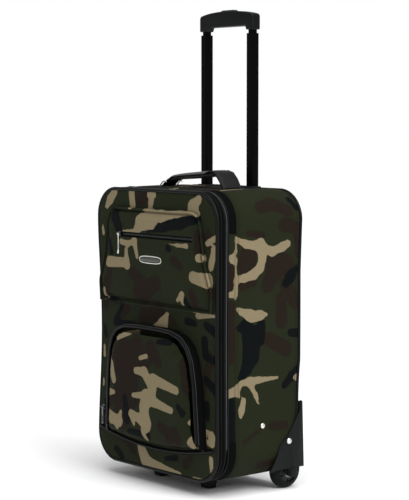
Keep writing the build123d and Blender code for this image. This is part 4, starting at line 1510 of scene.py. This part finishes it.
# %% Caps over the axle pins
for side_name, side in (("right", 1), ("left", -1)):
    pin_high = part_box("axle_pins")[1].x / MM
    cap = turned(f"axle_cap_{side_name}", [(0, 1.0), (5.0, 0.9), (7.2, 0.4), (7.8, -0.6), (7.8, -2.4), (0, -2.4)],
                 (pin_high, WHEEL[1], WHEEL[2]))
    if side < 0:
        mirror_piece(cap)
    finish_piece(cap, "root", moulded)

# %% Domed rivets with a dark washer
RIVETS = [(165.0, 12.0, 116.0), (168.8, 69.0, 84.0)]


for number, (x, y, z) in enumerate(RIVETS):
    for side_name, side in (("right", 1), ("left", -1)):
        dome = turned(f"rivet_{number + 1}_{side_name}",
                      [(0, 3.0), (1.5, 2.9), (3.0, 2.5), (4.2, 1.9), (5.0, 1.1), (5.2, 0.6), (5.2, 0.0), (0, 0.0)], (x, y, z))
        washer = turned(f"washer_{number + 1}_{side_name}",
                        [(4.6, 0.0), (7.4, 0.0), (7.4, 0.4), (7.0, 0.8), (5.6, 0.9), (4.6, 0.6), (4.6, 0.0)], (x, y, z))
        if side < 0:
            mirror_piece(dome)
            mirror_piece(washer)
        finish_piece(dome, "root", bright, ["side_rivets"])
        finish_piece(washer, "root", moulded)

# %% [markdown]
# ## Grip and button of the pull handle
#
# The grip is two moulded shells that meet along the middle. Its outline is drawn as a ring of vertices, filled,
# and extruded forwards. The outer edges get a wide bevel for the hand.

# %% Grip shells
grip_low, grip_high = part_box("grip_front")
GRIP_X = grip_high.x / MM
GRIP_FRONT, GRIP_SPLIT = grip_low.y / MM, grip_high.y / MM
corner = [(GRIP_X - 6 + 6 * math.sin(t), 801.4 + 6 * math.cos(t)) for t in np.linspace(0.15, math.pi / 2, 6)]
arch = [(x, 813.2 - 5.6 * abs(x / (GRIP_X - 6)) ** 2.6) for x in np.linspace(GRIP_X - 8, 0, 14)]
half = [(GRIP_X - 20, 786), (GRIP_X - 17, 779.5), (GRIP_X - 1.5, 779.5), (GRIP_X, 781)] + corner[::-1] + arch
grip_outline = half + [(-x, z) for x, z in half[-2::-1]]


def grip_shell(name, depth, outer_bevel):
    """One half of the grip, from the parting plane towards -Y by depth (in mm)."""
    deselect()
    bpy.ops.mesh.primitive_circle_add(vertices=len(grip_outline), radius=1, fill_type="NGON")
    piece = name_new(name)
    mesh = piece.data
    mesh.clear_geometry()
    mesh.from_pydata([(x * MM, GRIP_SPLIT * MM, z * MM) for x, z in grip_outline], [], [tuple(range(len(grip_outline)))])
    select_all(piece, "FACE")
    bpy.ops.mesh.extrude_region_move(TRANSFORM_OT_translate={"value": (0, -depth * MM, 0)})
    face_out(piece)
    pick(piece, lambda p, d: p.y < GRIP_SPLIT - depth + 0.01, "EDGE")
    bpy.ops.mesh.bevel(offset=outer_bevel * MM, segments=5, profile=0.5, affect="EDGES", clamp_overlap=True)
    return cut(piece, [cutter_box((-18.4, GRIP_SPLIT - 5.7, 796), (18.4, GRIP_SPLIT + 6, 830))])


grip_front = grip_shell("grip_shell_front", GRIP_SPLIT - GRIP_FRONT, 4.2)
grip_back = grip_shell("grip_shell_back", GRIP_SPLIT - GRIP_FRONT, 4.2)
push(grip_back, lambda points: points * np.array((1.0, -1.0, 1.0)) + np.array((0, 2 * GRIP_SPLIT, 0)))
face_out(grip_back)
for shell, node_name in ((grip_front, "grip_front"), (grip_back, "grip_back")):
    finish_piece(smooth(shell, 35), "upper_stage", grip_finish, [node_name])

# %% Release button with ridges
button = rounded_copy("release_button", "button_cap", 1.2, 3)
finish_piece(button, "button", button_finish, ["release_button"])
springs = rounded_copy("button_springs", "button_springs_soft", 0.05, 1)
finish_piece(springs, "upper_stage", steel, ["button_springs"])
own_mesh(springs)
ridge = small_block((0.9, 7.0, 0.8), 0.25)
button_low, button_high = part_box("release_button")
spots = np.array([(x, GRIP_SPLIT, button_high.z / MM) for x in np.arange(-12, 12.1, 3.0)])
ridges = repeat_along("button_ridges", ridge, spots, np.tile((1.0, 0, 0), (len(spots), 1)),
                      np.tile((0, 0, 1.0), (len(spots), 1)))
finish_piece(ridges, "button", button_finish)

# %% [markdown]
# ## Metal plate and the upper pull
#
# The oval plate is a rim pressed round a dark fill, with nothing written on it. The upper pocket's pull is a
# thin rod that ends in a bead.


# %% Oval plate
def oval(name, centre, half_x, half_z, y_back, y_front, edge):
    """An oval plate with blunt ends, from a cylinder, its front edge bevelled and pushed out a little."""
    deselect()
    bpy.ops.mesh.primitive_cylinder_add(vertices=72, radius=1, depth=1,
                                        location=(centre[0] * MM, (y_back + y_front) / 2 * MM, centre[1] * MM),
                                        rotation=(math.pi / 2, 0, 0))
    bpy.context.object.scale = (half_x * MM, half_z * MM, (y_back - y_front) * MM)
    piece = name_new(name)

    def squared(points):
        across, up = (points[:, 0] - centre[0]) / half_x, (points[:, 2] - centre[1]) / half_z
        grow = (np.abs(across) ** 3.4 + np.abs(up) ** 3.4) ** (-1 / 3.4)
        return np.stack((centre[0] + across * grow * half_x, points[:, 1], centre[1] + up * grow * half_z), axis=1)

    push(piece, squared)
    pick(piece, lambda p, n: n.y < -0.9)
    bpy.ops.mesh.inset(thickness=edge * MM)
    bpy.ops.transform.translate(value=(0, -0.25 * MM, 0))
    return piece


badge_low, badge_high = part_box("badge_rim")
badge_centre = ((badge_low.x + badge_high.x) / 2 / MM - 2.4, (badge_low.z + badge_high.z) / 2 / MM)
badge_y = badge_low.y / MM
plate = oval("plate_rim", badge_centre, 30.0, 6.6, badge_y + 1.6, badge_y - 0.8, 0.8)
pick(plate, lambda p, n: n.y < -0.9 and abs(p.y - (badge_y - 1.05)) < 0.05)
bpy.ops.mesh.inset(thickness=2.0 * MM)
bpy.ops.transform.translate(value=(0, 0.7 * MM, 0))
finish_piece(smooth(plate, 30), "lid", bright, ["badge_rim"])
fill = oval("plate_fill", badge_centre, 27.4, 4.3, badge_y + 0.2, badge_y - 0.6, 0.6)
finish_piece(smooth(fill, 40), "lid", enamel, ["badge_face"])

# %% Upper pull: a rod and a bead
pull_low, pull_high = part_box("upper_pull")
pull_x = (pull_low.x + pull_high.x) / 2 / MM
pull_y = (pull_low.y + pull_high.y) / 2 / MM
pull_top, pull_end = 429.0, pull_low.z / MM
rod_profile = [(0.0, 2.0), (1.7, 1.6), (1.9, 0.0), (1.2, -2.4), (0.95, -5.0), (0.9, -26.0), (1.2, -28.0), (2.0, -30.0),
               (2.1, -32.5), (1.5, -34.6), (0.0, -35.4)]
deselect()
bpy.ops.mesh.primitive_circle_add(vertices=3, radius=MM)
pull_rod = name_new("upper_pull_rod")
pull_rod.data.clear_geometry()
pull_rod.data.from_pydata([((pull_x + radius) * MM, pull_y * MM, (pull_top + out) * MM) for radius, out in rod_profile],
                          [(i, i + 1) for i in range(len(rod_profile) - 1)], [])
select_all(pull_rod)
bpy.ops.mesh.spin(steps=20, angle=2 * math.pi, center=(pull_x * MM, pull_y * MM, 0), axis=(0, 0, 1))
finish_piece(smooth(face_out(pull_rod), 50), "top_tab", bright, ["upper_pull"])

# %% [markdown]
# ## Stitching
#
# Rows of stitches run beside the side wall's seams. Each stitch is a short rounded block, lying just proud of the
# cloth.

# %% Rows of stitches
stitch = small_block((2.6, 0.7, 0.5), 0.2)
for name, grow, y, body in (("stitches_side_front", 0.1, SEAM_Y + 4.5, "root"), ("stitches_strip", 0.2, SEAM_Y - 3.5, "root"),
                            ("stitches_side_back", 0.1, WALL_BACK - 5.0, "root")):
    path = outline(grow, y, 4.0)
    spots, ways = spaced(path, 4.2)
    keep = ~((np.abs(spots[:, 0]) > 125) & (spots[:, 1] > 35) & (spots[:, 2] < 72))
    spots, ways = spots[keep], ways[keep]
    row = repeat_along(name, stitch, spots + outward(spots) * 0.15, ways, outward(spots))
    finish_piece(row, body, thread)

# %% [markdown]
# ## Floor, light and camera
#
# The case stands on a white floor in soft studio light. The light is strongest from the right and above, so the
# side wall is clearly brighter than the front. The background is white for the camera only, because a white
# room all round would wash out the near-black print.

# %% Floor
deselect()
bpy.ops.mesh.primitive_plane_add(size=14, location=(0, 0, -0.0002))
floor = name_new("studio_floor")
material, shader, place = new_material("studio_white")
dust = speckle(place, 3, 2)
connect(shader, Base_Color=dust.mix(rgb(0.93, 0.93, 0.93), rgb(0.95, 0.95, 0.95)))
fix(shader, Roughness=0.9, Specular_IOR_Level=0.1)
floor.data.materials.append(material)

# %% World and lamps
world = bpy.context.scene.world or bpy.data.worlds.new("studio")
bpy.context.scene.world = world
world.use_nodes = True
sky = Wire(world.node_tree)
background = world.node_tree.nodes["Background"]
seen = sky.node("LightPath", {}, {}, output=0)
tint = seen.mix(rgb(0.46, 0.46, 0.47), rgb(1.0, 1.0, 1.0))
world.node_tree.links.new(tint.socket, background.inputs["Color"])
background.inputs["Strength"].default_value = 1.0


def lamp(name, place, aim, size, power):
    """A square area lamp at a place, aimed at a point, both in metres."""
    data = bpy.data.lights.new(name, "AREA")
    data.size = size
    data.energy = power
    piece = bpy.data.objects.new(name, data)
    bpy.context.collection.objects.link(piece)
    piece.location = place
    piece.rotation_euler = (Vector(aim) - Vector(place)).to_track_quat("-Z", "Y").to_euler()
    return piece


sun_data = bpy.data.lights.new("soft_sun", "SUN")
sun_data.energy = 2.3
sun_data.angle = math.radians(60)
sun = bpy.data.objects.new("soft_sun", sun_data)
bpy.context.collection.objects.link(sun)
sun.rotation_euler = (math.radians(8), math.radians(22), 0)
lamp("key_right", (2.6, -0.1, 1.9), (0, 0, 0.3), 1.6, 42)
lamp("fill_front", (-0.8, -3.0, 1.3), (0, 0, 0.3), 1.6, 4)
bpy.context.scene.view_settings.view_transform = "Standard"

# %% Camera
AZIMUTH, ELEVATION, FAR = math.radians(50.7), math.radians(4.47), 2.97631
aside = Vector((math.cos(AZIMUTH), math.sin(AZIMUTH), 0)) * 0.0141
target = Vector((0, 0.004, 0.40098)) + aside
away = Vector((math.sin(AZIMUTH) * math.cos(ELEVATION), -math.cos(AZIMUTH) * math.cos(ELEVATION), math.sin(ELEVATION)))
camera_data = bpy.data.cameras.new("camera")
camera_data.lens = 123.93
camera_data.sensor_width = 36.0
camera = bpy.data.objects.new("camera", camera_data)
bpy.context.collection.objects.link(camera)
camera.location = target + away * FAR
camera.rotation_euler = (-away).to_track_quat("-Z", "Y").to_euler()
bpy.context.scene.camera = camera
